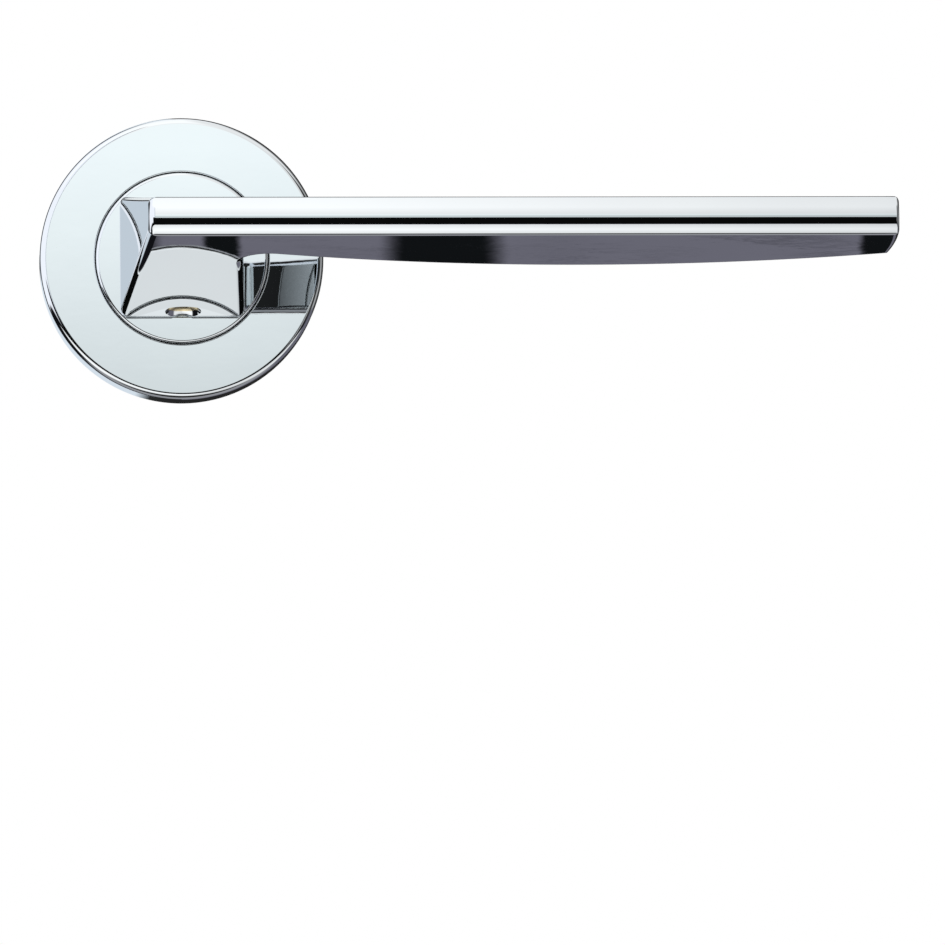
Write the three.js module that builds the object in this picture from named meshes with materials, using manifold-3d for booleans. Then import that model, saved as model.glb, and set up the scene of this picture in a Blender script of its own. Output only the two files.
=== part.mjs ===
// Door lever handle on a round rose, as an assembly of separate solids.
// Units are millimetres and +Z is up. The door's face is the plane y = 0, the handle stands out
// towards -Y and the lever points to +X. The origin is the spindle's axis on the door's face.
// A depth is a distance out from the door's face, so a point at depth d lies at y = -d.
import * as THREE from 'three';
import { mergeVertices } from 'three/addons/utils/BufferGeometryUtils.js';
import Module from 'manifold-3d';

const wasm = await Module();
wasm.setup();

// ---- Driving dimensions -------------------------------------------------------------------

// Rose cover: a thin shell that hides the fixings.
const roseDiameter = 52;
const roseDepth = 8;
const roseWall = 1.2;
const roseEdgeRadius = 1.2;

// Lever hub: the flange that turns in the rose, its collar and its shank.
const flangeDiameter = 31.5;
const flangeThickness = 2.3;
const flangeProud = 0.3;
const flangeEdgeRadius = 0.8;
const collarDiameter = 20.4;
const collarLength = 1.6;
const shankDiameter = 16;
const shankFlatCut = 1.2;
const shankBehindDoorFace = 0.8;
const spindleSquare = 8.1;
const socketDepth = 24;

// Neck and grip, seen from above.
const neckWidthAtRose = 22.8;
const neckLeftSetIn = 3.9;
const neckRightSetIn = 1.6;
const neckCornerRadius = 1.2;
const leverProjection = 65.3;
const gripLength = 131.7;
const gripCrestFromEnd = 54.5;
const gripCrestThickness = 21.9;
const gripArcRadius = 198;
const innerFilletRadius = 4.5;
const outerCornerRadius = 1.2;
const endBulge = 0.4;
const endCornerRadius = 0.6;
const neckRearChamfer = 1.2;

// Neck and grip, seen from the side: a wedge that flares towards the door.
const frontHeight = 6.8;
const neckHeightAtRose = 22.2;
const frontFlare = 0.109;
const noseSagitta = 0.95;

// Set screw and the arched flat that it is driven from.
const setScrewDiameter = 5.4;
const setScrewLength = 5;
const setScrewHexAcrossFlats = 3;
const setScrewHexDepth = 2.4;
const tappedHoleDiameter = 6;
const tappedHoleFromNeckEnd = 3.3;
const archWidth = 19;
const archLength = 7;
const archStep = 0.45;
const archSharpness = 0.7;

// Base plate that is screwed to the door.
const webThickness = 0.9;
const fixingCentres = 38;
const fixingHoleDiameter = 4.4;
const fixingHeadDiameter = 7.1;
const fixingSeatDepth = 3;

// Spring cassette, from the web back towards the door.
const bushFlangeThickness = 0.5;
const bushWall = 0.9;
const driverThickness = 0.8;
const driverArmWidth = 4;
const driverTabThickness = 1;
const driverTabLength = 2.1;
const springRadialWidth = 1.8;
const springThickness = 0.65;
const springTurns = 1.75;
const springPitch = 0.95;
const springRearDepth = 1.25;
const springAnchorLength = 1.3;
const springBendRadius = 1.5;
const waveWasherThickness = 0.4;
const waveHeight = 0.25;
const waveCount = 3;
const backWasherThickness = 0.6;
const ringThickness = 0.8;
const ringGrooveCut = 0.8;
const washerBandWidth = 2;
const springCoverThickness = 0.6;
const springCoverLedge = 0.7;
const earReach = 18;
const earRadius = 2.4;
const earAngles = [45, 180, 315];
const coverScrewDiameter = 2;
const coverScrewHeadDiameter = 3.4;
const coverScrewLength = 3.4;

// The lever's travel, from its stop at rest.
const leverTravelDegrees = 45;
const stopAngularWidth = 20;
const stopClearanceDegrees = 1.5;
const stopThickness = 0.95;

// Clearances between pieces.
const runningGap = 0.3;
const seatGap = 0.1;
const coilGap = 0.9;
const tabGap = 0.4;
const springCoverBoreGap = 0.7;

const roundSegments = 72;
const smallSegments = 28;

// ---- Depths that follow from the values above ----------------------------------------------

const flangeFrontDepth = roseDepth + flangeProud;
const flangeRearDepth = flangeFrontDepth - flangeThickness;
const neckRearDepth = flangeFrontDepth + collarLength;
const plateDepth = roseDepth - roseWall - runningGap;
const recessFloorDepth = flangeRearDepth - bushFlangeThickness - 2 * seatGap;
const webRearDepth = recessFloorDepth - webThickness;
const driverFrontDepth = webRearDepth - 2 * seatGap;
const driverRearDepth = driverFrontDepth - driverThickness;
const waveFrontDepth = driverRearDepth - seatGap;
const waveRearDepth = waveFrontDepth - waveWasherThickness - waveHeight;
const backWasherFrontDepth = waveRearDepth - seatGap;
const ringFrontDepth = backWasherFrontDepth - backWasherThickness - seatGap;
const shankRadius = shankDiameter / 2;
const shankFlatWidth = shankDiameter - 2 * shankFlatCut;
const ringSeatRadius = shankRadius - ringGrooveCut;
const washerOuterRadius = shankRadius + washerBandWidth;
const driverRadius = washerOuterRadius + 0.2;
const springMeanRadius = driverRadius + coilGap + springRadialWidth / 2;
const driverArmReach = springMeanRadius + springRadialWidth / 2 + tabGap + driverTabThickness;
const springLegReach = driverArmReach + runningGap;
const springChamberRadius = springLegReach + runningGap;
const springAnchorReach = springChamberRadius + springAnchorLength;
const springCoverRadius = springChamberRadius + springCoverLedge;
const gripCrestDepth = leverProjection - gripCrestThickness;
const frontEdgeDepth = leverProjection - noseSagitta;
const frontLeftX = -neckWidthAtRose / 2 + neckLeftSetIn;
const gripEndX = frontLeftX + gripLength;
const gripCrestX = gripEndX - gripCrestFromEnd;
const driverRestAngle = 90;
const armHalfAngle = THREE.MathUtils.radToDeg(Math.asin(driverArmWidth / 2 / driverArmReach));

// ---- Solids --------------------------------------------------------------------------------

// Six times the volume that the triangles enclose, negative where they face inwards.
function signedVolume(corners, triangles) {
  const point = (index) => new THREE.Vector3().fromArray(corners, 3 * index);
  let total = 0;
  for (let i = 0; i < triangles.length; i += 3) {
    const [a, b, c] = triangles.slice(i, i + 3).map(point);
    total += a.dot(b.cross(c));
  }
  return total;
}

function solidFrom(geometry, matrix) {
  const plain = geometry.index ? geometry.toNonIndexed() : geometry.clone();
  plain.deleteAttribute('normal');
  plain.deleteAttribute('uv');
  if (matrix) plain.applyMatrix4(matrix);
  const merged = mergeVertices(plain, 1e-5);
  const kept = [];
  const index = merged.index.array;
  for (let i = 0; i < index.length; i += 3) {
    const [a, b, c] = [index[i], index[i + 1], index[i + 2]];
    if (a !== b && b !== c && a !== c) kept.push(a, b, c);
  }
  const corners = new Float32Array(merged.attributes.position.array);
  const triangles = signedVolume(corners, kept) < 0 ? [...kept].reverse() : kept;
  return new wasm.Manifold(new wasm.Mesh({
    numProp: 3,
    vertProperties: corners,
    triVerts: new Uint32Array(triangles),
  }));
}

function geometryFrom(solid) {
  const mesh = solid.getMesh();
  const geometry = new THREE.BufferGeometry();
  const positions = new Float32Array(mesh.vertProperties);
  geometry.setAttribute('position', new THREE.BufferAttribute(positions, 3));
  geometry.setIndex(new THREE.BufferAttribute(new Uint32Array(mesh.triVerts), 1));
  return geometry;
}

// A shape drawn in x and z, pushed out of the door's plane between two depths.
function plateSolid(shape, rearDepth, frontDepth, segments = smallSegments) {
  const geometry = new THREE.ExtrudeGeometry(shape, {
    depth: frontDepth - rearDepth,
    bevelEnabled: false,
    curveSegments: segments,
  });
  const matrix = new THREE.Matrix4().makeRotationX(Math.PI / 2);
  matrix.setPosition(0, -rearDepth, 0);
  return solidFrom(geometry, matrix);
}

// A closed outline of [radius, depth] points, turned about the spindle's axis.
function turnedSolid(outline, segments = roundSegments) {
  const points = outline.map(([radius, depth]) => new THREE.Vector2(radius, depth));
  points.push(points[0].clone());
  const geometry = new THREE.LatheGeometry(points, segments);
  return solidFrom(geometry, new THREE.Matrix4().makeRotationX(Math.PI));
}

function ringSolid(innerRadius, outerRadius, rearDepth, frontDepth, segments = roundSegments) {
  return turnedSolid([
    [innerRadius, rearDepth],
    [outerRadius, rearDepth],
    [outerRadius, frontDepth],
    [innerRadius, frontDepth],
  ], segments);
}

function discShape(x, z, radius) {
  const shape = new THREE.Shape();
  shape.absarc(x, z, radius, 0, Math.PI * 2, false);
  return shape;
}

function pinSolid(x, z, radius, rearDepth, frontDepth) {
  return plateSolid(discShape(x, z, radius), rearDepth, frontDepth, smallSegments / 2);
}

// A box between two corners, turned about the spindle's axis from +X towards +Z.
function boxSolid(low, high, turnDegrees = 0) {
  const size = high.map((value, axis) => value - low[axis]);
  const middle = high.map((value, axis) => (value + low[axis]) / 2);
  const geometry = new THREE.BoxGeometry(...size);
  const turn = new THREE.Matrix4().makeRotationY(-THREE.MathUtils.degToRad(turnDegrees));
  return solidFrom(geometry, turn.multiply(new THREE.Matrix4().makeTranslation(...middle)));
}

function polar(radius, degrees) {
  const angle = THREE.MathUtils.degToRad(degrees);
  return [radius * Math.cos(angle), radius * Math.sin(angle)];
}

function sectorShape(innerRadius, outerRadius, fromDegrees, toDegrees) {
  const from = THREE.MathUtils.degToRad(fromDegrees);
  const to = THREE.MathUtils.degToRad(toDegrees);
  const shape = new THREE.Shape();
  shape.absarc(0, 0, outerRadius, from, to, false);
  shape.absarc(0, 0, innerRadius, to, from, true);
  shape.closePath();
  return shape;
}

// A quarter round on a turned outline, from one angle to another, in degrees.
function roundPoints(radius, depth, size, fromDegrees, toDegrees, steps = 5) {
  return Array.from({ length: steps + 1 }, (_, step) => {
    const [dr, dd] = polar(size, fromDegrees + ((toDegrees - fromDegrees) * step) / steps);
    return [radius + dr, depth + dd];
  });
}

// ---- Rose and base plate -------------------------------------------------------------------

const coverHoleRadius = flangeDiameter / 2 + runningGap;
const roseRadius = roseDiameter / 2;
const plateRadius = roseRadius - roseWall - runningGap;

function roseCover() {
  const inner = roseRadius - roseWall;
  const corner = roseEdgeRadius;
  return turnedSolid([
    [inner, 0],
    [roseRadius - 0.2, 0],
    [roseRadius, 0.3],
    ...roundPoints(roseRadius - corner, roseDepth - corner, corner, 0, 90),
    [coverHoleRadius, roseDepth],
    [coverHoleRadius, roseDepth - roseWall],
    [inner, roseDepth - roseWall],
  ]);
}

// The disc with its three screw ears, which its seat in the base plate repeats a little larger.
function springCoverBlank(grow, rearDepth, frontDepth) {
  const body = discShape(0, 0, springCoverRadius + grow);
  const ear = earRadius + grow;
  let blank = plateSolid(body, rearDepth, frontDepth, roundSegments / 2);
  for (const angle of earAngles) {
    const [x, z] = polar(earReach, angle);
    blank = blank.add(pinSolid(x, z, ear, rearDepth, frontDepth));
    blank = blank.add(boxSolid([0, -frontDepth, -ear], [earReach, -rearDepth, ear], angle));
  }
  return blank;
}

const springCoverRearDepth = seatGap;
const springCoverFrontDepth = springCoverRearDepth + springCoverThickness;
const springRecessDepth = springCoverFrontDepth + seatGap;

function basePlate() {
  const recessRadius = coverHoleRadius + 0.15;
  let plate = turnedSolid([
    [shankRadius + runningGap + bushWall + runningGap, webRearDepth],
    [springChamberRadius, webRearDepth],
    [springChamberRadius, 0],
    [plateRadius, 0],
    [plateRadius, plateDepth - 0.4],
    [plateRadius - 0.4, plateDepth],
    [recessRadius, plateDepth],
    [recessRadius, recessFloorDepth],
    [shankRadius + runningGap + bushWall + runningGap, recessFloorDepth],
  ]);
  for (const side of [1, -1]) {
    const z = (side * fixingCentres) / 2;
    plate = plate.subtract(pinSolid(0, z, fixingHoleDiameter / 2, -1, plateDepth + 1));
    plate = plate.subtract(pinSolid(0, z, fixingHeadDiameter / 2, fixingSeatDepth, plateDepth + 1));
  }
  plate = plate.subtract(springCoverBlank(runningGap, -1, springRecessDepth));
  for (const angle of earAngles) {
    const [x, z] = polar(earReach, angle);
    const pilot = coverScrewDiameter / 2 + runningGap;
    plate = plate.subtract(pinSolid(x, z, pilot, -1, coverScrewLength + 2 * runningGap));
  }
  const slotHalf = springRadialWidth / 2 + runningGap;
  const slotDepth = springRearDepth + springThickness / 2 + runningGap;
  plate = plate.subtract(boxSolid(
    [springChamberRadius - 1, -slotDepth, -slotHalf],
    [springAnchorReach + runningGap, 1, slotHalf],
    springAnchorAngle,
  ));
  const restStop = driverRestAngle + armHalfAngle + stopClearanceDegrees;
  const turnedStop = driverRestAngle - leverTravelDegrees - armHalfAngle - stopClearanceDegrees;
  const lugs = [[restStop, restStop + stopAngularWidth], [turnedStop - stopAngularWidth, turnedStop]];
  for (const [from, to] of lugs) {
    const shape = sectorShape(springMeanRadius + 1.2, springChamberRadius + 0.2, from, to);
    plate = plate.add(plateSolid(shape, webRearDepth - stopThickness, webRearDepth + 0.2));
  }
  return plate;
}

function bearingBush() {
  const bore = shankRadius + runningGap;
  const sleeve = bore + bushWall;
  const flangeRear = recessFloorDepth + seatGap;
  const flangeOuter = flangeDiameter / 2 - 1.2;
  return turnedSolid([
    [bore, webRearDepth + 0.05],
    [sleeve, webRearDepth + 0.05],
    [sleeve, flangeRear],
    [flangeOuter, flangeRear],
    [flangeOuter, flangeRear + bushFlangeThickness],
    [bore, flangeRear + bushFlangeThickness],
  ]);
}

// ---- Spring cassette -----------------------------------------------------------------------

// The moving leg bears on the driver's tab, and the coil winds tighter as the lever is pressed.
const legHalfAngle = THREE.MathUtils.radToDeg((springRadialWidth / 2 + runningGap) / springLegReach);
const springLegAngle = driverRestAngle - armHalfAngle - legHalfAngle;
const springAnchorAngle = (springLegAngle + 360 * springTurns) % 360;

function springPath() {
  const bendCentre = springMeanRadius + springBendRadius;
  const bendAngle = THREE.MathUtils.radToDeg(Math.asin(springBendRadius / bendCentre));
  const bendSteps = 4;
  const coilSteps = Math.round(springTurns * 32);
  const rise = springPitch * springTurns;
  const flat = [];
  const bend = (legAngle, side) => {
    const [cx, cz] = polar(bendCentre, legAngle + side * bendAngle);
    const onLeg = legAngle - side * 90;
    const onCoil = legAngle + side * bendAngle + 180;
    const turn = ((onCoil - onLeg + 540) % 360) - 180;
    return Array.from({ length: bendSteps + 1 }, (_, step) => {
      const [dx, dz] = polar(springBendRadius, onLeg + (turn * step) / bendSteps);
      return [cx + dx, cz + dz];
    });
  };
  flat.push([...polar(springAnchorReach, springAnchorAngle), 0]);
  flat.push(...bend(springAnchorAngle, -1).map(([x, z]) => [x, z, 0]));
  const sweep = 360 * springTurns - 2 * bendAngle;
  for (let step = 1; step < coilSteps; step += 1) {
    const turned = step / coilSteps;
    flat.push([...polar(springMeanRadius, springAnchorAngle - bendAngle - sweep * turned), turned]);
  }
  flat.push(...bend(springLegAngle, 1).reverse().map(([x, z]) => [x, z, 1]));
  flat.push([...polar(springLegReach, springLegAngle), 1]);
  return flat.map(([x, z, turned]) => new THREE.Vector3(x, -springRearDepth - rise * turned, z));
}

function returnSpring() {
  const section = new THREE.Shape();
  const halfDepth = springThickness / 2;
  const halfWidth = springRadialWidth / 2;
  section.moveTo(-halfDepth, -halfWidth);
  section.lineTo(halfDepth, -halfWidth);
  section.lineTo(halfDepth, halfWidth);
  section.lineTo(-halfDepth, halfWidth);
  section.closePath();
  const path = new THREE.CatmullRomCurve3(springPath(), false, 'chordal');
  return solidFrom(new THREE.ExtrudeGeometry(section, { steps: 130, extrudePath: path }));
}

function springCover() {
  const front = springCoverFrontDepth;
  let cover = springCoverBlank(0, springCoverRearDepth, front);
  cover = cover.subtract(pinSolid(0, 0, shankRadius + springCoverBoreGap, -1, front + 1));
  for (const angle of earAngles) {
    const [x, z] = polar(earReach, angle);
    const sink = new THREE.CylinderGeometry(
      coverScrewDiameter / 2 + runningGap,
      coverScrewHeadDiameter / 2 + runningGap,
      springCoverThickness + 0.4,
      smallSegments,
    );
    const matrix = new THREE.Matrix4().makeRotationX(Math.PI);
    matrix.setPosition(x, -(springCoverRearDepth + springCoverThickness / 2), z);
    cover = cover.subtract(solidFrom(sink, matrix));
  }
  return cover;
}

function coverScrew(angle) {
  const [x, z] = polar(earReach, angle);
  const head = coverScrewHeadDiameter / 2;
  const shank = coverScrewDiameter / 2;
  const outline = [
    [0, springCoverRearDepth],
    [head, springCoverRearDepth],
    [shank, springCoverRearDepth + springCoverThickness + 0.1],
    [shank, coverScrewLength - 0.4],
    [shank * 0.4, coverScrewLength],
    [0, coverScrewLength],
  ].map(([radius, depth]) => new THREE.Vector2(radius, depth));
  const matrix = new THREE.Matrix4().makeRotationX(Math.PI);
  matrix.setPosition(x, 0, z);
  const body = solidFrom(new THREE.LatheGeometry(outline, smallSegments), matrix);
  const recess = [
    boxSolid([x - 1, -(springCoverRearDepth + 0.4), z - 0.18], [x + 1, 1, z + 0.18]),
    boxSolid([x - 0.18, -(springCoverRearDepth + 0.4), z - 1], [x + 0.18, 1, z + 1]),
  ];
  return body.subtract(recess[0]).subtract(recess[1]);
}

function flattedBore(radius, flatWidth) {
  const half = flatWidth / 2;
  const angle = Math.acos(half / radius);
  const shape = new THREE.Shape();
  shape.absarc(0, 0, radius, angle, Math.PI - angle, false);
  shape.absarc(0, 0, radius, Math.PI + angle, 2 * Math.PI - angle, false);
  shape.closePath();
  return shape;
}

function springDriver() {
  const armRoot = driverRadius - 2;
  const disc = pinSolid(0, 0, driverRadius, driverRearDepth, driverFrontDepth);
  const arm = boxSolid(
    [-driverArmWidth / 2, -driverFrontDepth, armRoot],
    [driverArmWidth / 2, -driverRearDepth, driverArmReach],
  );
  const tab = boxSolid(
    [-driverArmWidth / 2, -driverFrontDepth, driverArmReach - driverTabThickness],
    [driverArmWidth / 2, -(driverFrontDepth - driverTabLength), driverArmReach],
  );
  const bore = flattedBore(shankRadius + runningGap, shankFlatWidth + 2 * runningGap);
  return disc.add(arm).add(tab).subtract(plateSolid(bore, 0, roseDepth));
}

function waveWasher() {
  const inner = shankRadius + runningGap;
  const geometry = new THREE.LatheGeometry([
    new THREE.Vector2(inner, 0),
    new THREE.Vector2(washerOuterRadius, 0),
    new THREE.Vector2(washerOuterRadius, waveWasherThickness),
    new THREE.Vector2(inner, waveWasherThickness),
    new THREE.Vector2(inner, 0),
  ], roundSegments);
  const position = geometry.attributes.position;
  for (let i = 0; i < position.count; i += 1) {
    const around = Math.atan2(position.getZ(i), position.getX(i));
    const lift = (waveHeight / 2) * (1 + Math.cos(waveCount * around));
    position.setY(i, position.getY(i) + lift);
  }
  const matrix = new THREE.Matrix4().makeRotationX(Math.PI);
  matrix.setPosition(0, -waveRearDepth, 0);
  return solidFrom(geometry, matrix);
}

function backWasher() {
  const inner = shankRadius + runningGap;
  const rear = backWasherFrontDepth - backWasherThickness;
  return ringSolid(inner, washerOuterRadius, rear, backWasherFrontDepth);
}

function retainingRing() {
  const inner = ringSeatRadius + 0.1;
  const outer = washerOuterRadius - 0.6;
  const openingHalf = 14;
  const rear = ringFrontDepth - ringThickness;
  const body = sectorShape(inner, outer, -90 + openingHalf, 270 - openingHalf);
  let ring = plateSolid(body, rear, ringFrontDepth);
  for (const side of [1, -1]) {
    const [x, z] = polar((inner + outer) / 2 + 0.1, -90 + side * (openingHalf + 5));
    ring = ring.add(pinSolid(x, z, 1.25, rear, ringFrontDepth));
    ring = ring.subtract(pinSolid(x, z, 0.5, rear - 1, ringFrontDepth + 1));
  }
  return ring;
}

// ---- Lever ---------------------------------------------------------------------------------

const planLength = leverProjection - neckRearDepth;
const leftLean = neckLeftSetIn / planLength;
const rightLean = neckRightSetIn / (gripCrestDepth - neckRearDepth);

function leftSideX(depth) {
  return -neckWidthAtRose / 2 + leftLean * (depth - neckRearDepth);
}

function rightSideX(depth) {
  return neckWidthAtRose / 2 - rightLean * (depth - neckRearDepth);
}

function gripRearDepth(x) {
  const along = x - gripCrestX;
  return gripCrestDepth + gripArcRadius - Math.sqrt(gripArcRadius ** 2 - along ** 2);
}

// Half the lever's height at a depth: it flares towards the door.
function halfHeight(depth) {
  const run = frontEdgeDepth - depth;
  const fullRun = frontEdgeDepth - neckRearDepth;
  const grown = (neckHeightAtRose - frontHeight) / 2 - frontFlare * fullRun;
  return frontHeight / 2 + frontFlare * run + (grown * run * run) / (fullRun * fullRun);
}

// The round between the neck's right side and the back of the grip.
function innerFillet(steps = 10) {
  const radius = innerFilletRadius;
  const slant = Math.hypot(1, rightLean);
  const reach = gripArcRadius + radius;
  const arcCentreDepth = gripCrestDepth + gripArcRadius;
  const offset = rightSideX(0) + radius * slant - gripCrestX;
  const a = 1 + rightLean ** 2;
  const b = -2 * (offset * rightLean + arcCentreDepth);
  const c = offset ** 2 + arcCentreDepth ** 2 - reach ** 2;
  const depth = (-b - Math.sqrt(b * b - 4 * a * c)) / (2 * a);
  const x = rightSideX(depth) + radius * slant;
  const from = Math.PI + Math.atan(rightLean);
  const to = Math.atan2(arcCentreDepth - depth, gripCrestX - x);
  return Array.from({ length: steps + 1 }, (_, step) => {
    const angle = from + ((to - from) * step) / steps;
    return new THREE.Vector2(x + radius * Math.cos(angle), depth + radius * Math.sin(angle));
  });
}

// A round of the given radius at a corner between two straight sides.
function roundedCorner(before, corner, after, radius, steps = 5) {
  const back = before.clone().sub(corner).normalize();
  const on = after.clone().sub(corner).normalize();
  const half = Math.acos(THREE.MathUtils.clamp(back.dot(on), -1, 1)) / 2;
  const centre = corner.clone().addScaledVector(back.clone().add(on).normalize(), radius / Math.sin(half));
  const start = corner.clone().addScaledVector(back, radius / Math.tan(half)).sub(centre);
  const end = corner.clone().addScaledVector(on, radius / Math.tan(half)).sub(centre);
  const turn = Math.atan2(start.cross(end), start.dot(end));
  return Array.from({ length: steps + 1 }, (_, step) => (
    start.clone().rotateAround(new THREE.Vector2(), (turn * step) / steps).add(centre)
  ));
}

// The outline seen from above, as points of x and depth.
function leverOutline() {
  const point = (x, depth) => new THREE.Vector2(x, depth);
  const rearLeft = point(leftSideX(neckRearDepth), neckRearDepth);
  const rearRight = point(rightSideX(neckRearDepth), neckRearDepth);
  const frontLeft = point(leftSideX(leverProjection), leverProjection);
  const frontEnd = point(gripEndX, leverProjection);
  const rearEnd = point(gripEndX, gripRearDepth(gripEndX));
  const fillet = innerFillet();
  const rearArcSteps = 28;
  const arcStart = fillet[fillet.length - 1].x;
  const beforeEnd = point(gripEndX - 4, gripRearDepth(gripEndX - 4));
  const rearArc = Array.from({ length: rearArcSteps }, (_, step) => {
    const x = arcStart + ((beforeEnd.x - arcStart) * (step + 1)) / rearArcSteps;
    return point(x, gripRearDepth(x));
  });
  const endRearRound = roundedCorner(beforeEnd, rearEnd, frontEnd, endCornerRadius, 3);
  const endFrontRound = roundedCorner(rearEnd, frontEnd, frontLeft, endCornerRadius, 3);
  const endSteps = 6;
  const endFace = Array.from({ length: endSteps - 1 }, (_, step) => {
    const share = (step + 1) / endSteps;
    const depth = THREE.MathUtils.lerp(endRearRound[3].y, endFrontRound[0].y, share);
    return point(gripEndX + endBulge * (1 - (2 * share - 1) ** 2), depth);
  });
  return [
    ...roundedCorner(frontLeft, rearLeft, rearRight, neckCornerRadius),
    ...roundedCorner(rearLeft, rearRight, fillet[0], neckCornerRadius),
    ...fillet,
    ...rearArc,
    ...endRearRound,
    ...endFace,
    ...endFrontRound,
    ...roundedCorner(frontEnd, frontLeft, rearLeft, outerCornerRadius),
  ];
}

// The outline seen from the side, as points of y and height, with a rounded nose.
function leverProfile() {
  const profileSteps = 14;
  const noseSteps = 8;
  const chamferStart = neckRearDepth + neckRearChamfer;
  const upper = Array.from({ length: profileSteps + 1 }, (_, step) => {
    const depth = THREE.MathUtils.lerp(chamferStart, frontEdgeDepth, step / profileSteps);
    return new THREE.Vector2(-depth, halfHeight(depth));
  });
  upper.unshift(new THREE.Vector2(-neckRearDepth, halfHeight(neckRearDepth) - neckRearChamfer));
  const nose = Array.from({ length: noseSteps - 1 }, (_, step) => {
    const share = (step + 1) / noseSteps;
    const height = (frontHeight / 2) * (1 - 2 * share);
    const out = noseSagitta * (1 - (1 - 2 * share) ** 2);
    return new THREE.Vector2(-(frontEdgeDepth + out), height);
  });
  const lower = upper.map((p) => new THREE.Vector2(p.x, -p.y)).reverse();
  return [...upper, ...nose, ...lower];
}

// The arched flat on the underside, cut by a block with a sloping top.
function archCutter() {
  const steps = 18;
  const half = archWidth / 2;
  const border = Array.from({ length: steps + 1 }, (_, step) => {
    const x = -half + (archWidth * step) / steps;
    const bell = 0.5 + 0.5 * Math.cos((Math.PI * x) / half);
    return new THREE.Vector2(x, neckRearDepth + archLength * bell ** archSharpness + 0.02);
  });
  border.push(new THREE.Vector2(half, neckRearDepth - 1), new THREE.Vector2(-half, neckRearDepth - 1));
  const blockHeight = 4;
  const block = new THREE.ExtrudeGeometry(new THREE.Shape(border), {
    depth: blockHeight,
    bevelEnabled: false,
  });
  const apexHeight = halfHeight(neckRearDepth + archLength) - archStep;
  const rearHeight = halfHeight(neckRearDepth);
  const slope = (rearHeight - apexHeight) / archLength;
  const place = new THREE.Matrix4().set(
    1, 0, 0, 0,
    0, -1, 0, 0,
    0, slope, 1, -blockHeight - rearHeight - slope * neckRearDepth,
    0, 0, 0, 1,
  );
  return solidFrom(block, place);
}

const tappedHoleDepth = neckRearDepth + tappedHoleFromNeckEnd;
const setScrewTop = -(spindleSquare / 2 + runningGap);

function uprightSolid(radius, depth, lowZ, highZ, segments) {
  const geometry = new THREE.CylinderGeometry(radius, radius, highZ - lowZ, segments);
  const matrix = new THREE.Matrix4().makeRotationX(Math.PI / 2);
  matrix.setPosition(0, -depth, (lowZ + highZ) / 2);
  return solidFrom(geometry, matrix);
}

function lever() {
  const outline = new THREE.ExtrudeGeometry(new THREE.Shape(leverOutline()), {
    depth: 2 * neckHeightAtRose,
    bevelEnabled: false,
  });
  const fromAbove = new THREE.Matrix4().makeScale(1, -1, 1);
  fromAbove.setPosition(0, 0, -neckHeightAtRose);
  const profile = new THREE.ExtrudeGeometry(new THREE.Shape(leverProfile()), {
    depth: 2 * gripLength,
    bevelEnabled: false,
  });
  const fromSide = new THREE.Matrix4().makeBasis(
    new THREE.Vector3(0, 1, 0),
    new THREE.Vector3(0, 0, 1),
    new THREE.Vector3(1, 0, 0),
  );
  fromSide.setPosition(-neckWidthAtRose, 0, 0);
  const arm = solidFrom(outline, fromAbove).intersect(solidFrom(profile, fromSide));
  const flangeRadius = flangeDiameter / 2;
  const rounding = flangeEdgeRadius;
  const hub = turnedSolid([
    [0, -shankBehindDoorFace],
    [shankRadius - 0.4, -shankBehindDoorFace],
    [shankRadius, -shankBehindDoorFace + 0.4],
    [shankRadius, flangeRearDepth],
    [flangeRadius, flangeRearDepth],
    ...roundPoints(flangeRadius - rounding, flangeFrontDepth - rounding, rounding, 0, 90, 4),
    [collarDiameter / 2, flangeFrontDepth],
    [collarDiameter / 2, neckRearDepth + 1],
    [0, neckRearDepth + 1],
  ]);
  let body = arm.add(hub);
  const half = spindleSquare / 2;
  body = body.subtract(boxSolid([-half, -socketDepth, -half], [half, 5, half]));
  for (const side of [1, -1]) {
    const flat = (side * shankFlatWidth) / 2;
    const edges = [flat, flat + side * 5].sort((p, q) => p - q);
    body = body.subtract(boxSolid([edges[0], -webRearDepth, -10], [edges[1], 5, 10]));
  }
  const grooveRear = ringFrontDepth - ringThickness - seatGap;
  const groove = ringSolid(ringSeatRadius, 12, grooveRear, ringFrontDepth + seatGap);
  body = body.subtract(groove);
  body = body.subtract(archCutter());
  const tapped = tappedHoleDiameter / 2;
  return body.subtract(uprightSolid(tapped, tappedHoleDepth, -15, -half + 1, smallSegments));
}

function setScrew() {
  const low = setScrewTop - setScrewLength;
  const radius = setScrewDiameter / 2;
  const body = uprightSolid(radius, tappedHoleDepth, low, setScrewTop, smallSegments);
  const hexRadius = setScrewHexAcrossFlats / Math.sqrt(3);
  return body.subtract(uprightSolid(hexRadius, tappedHoleDepth, low - 1, low + setScrewHexDepth, 6));
}

// ---- Assembly ------------------------------------------------------------------------------

const polishedChrome = { color: 0xe9edf0, metalness: 1, roughness: 0.05 };
const castZinc = { color: 0xa3a6a8, metalness: 1, roughness: 0.55 };
const zincPlatedSteel = { color: 0xb9bec2, metalness: 1, roughness: 0.35 };
const springSteel = { color: 0x5f6368, metalness: 1, roughness: 0.4 };
const whiteAcetal = { color: 0xe8e6df, metalness: 0, roughness: 0.5 };
const blackenedSteel = { color: 0x2c2d30, metalness: 1, roughness: 0.45 };

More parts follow.
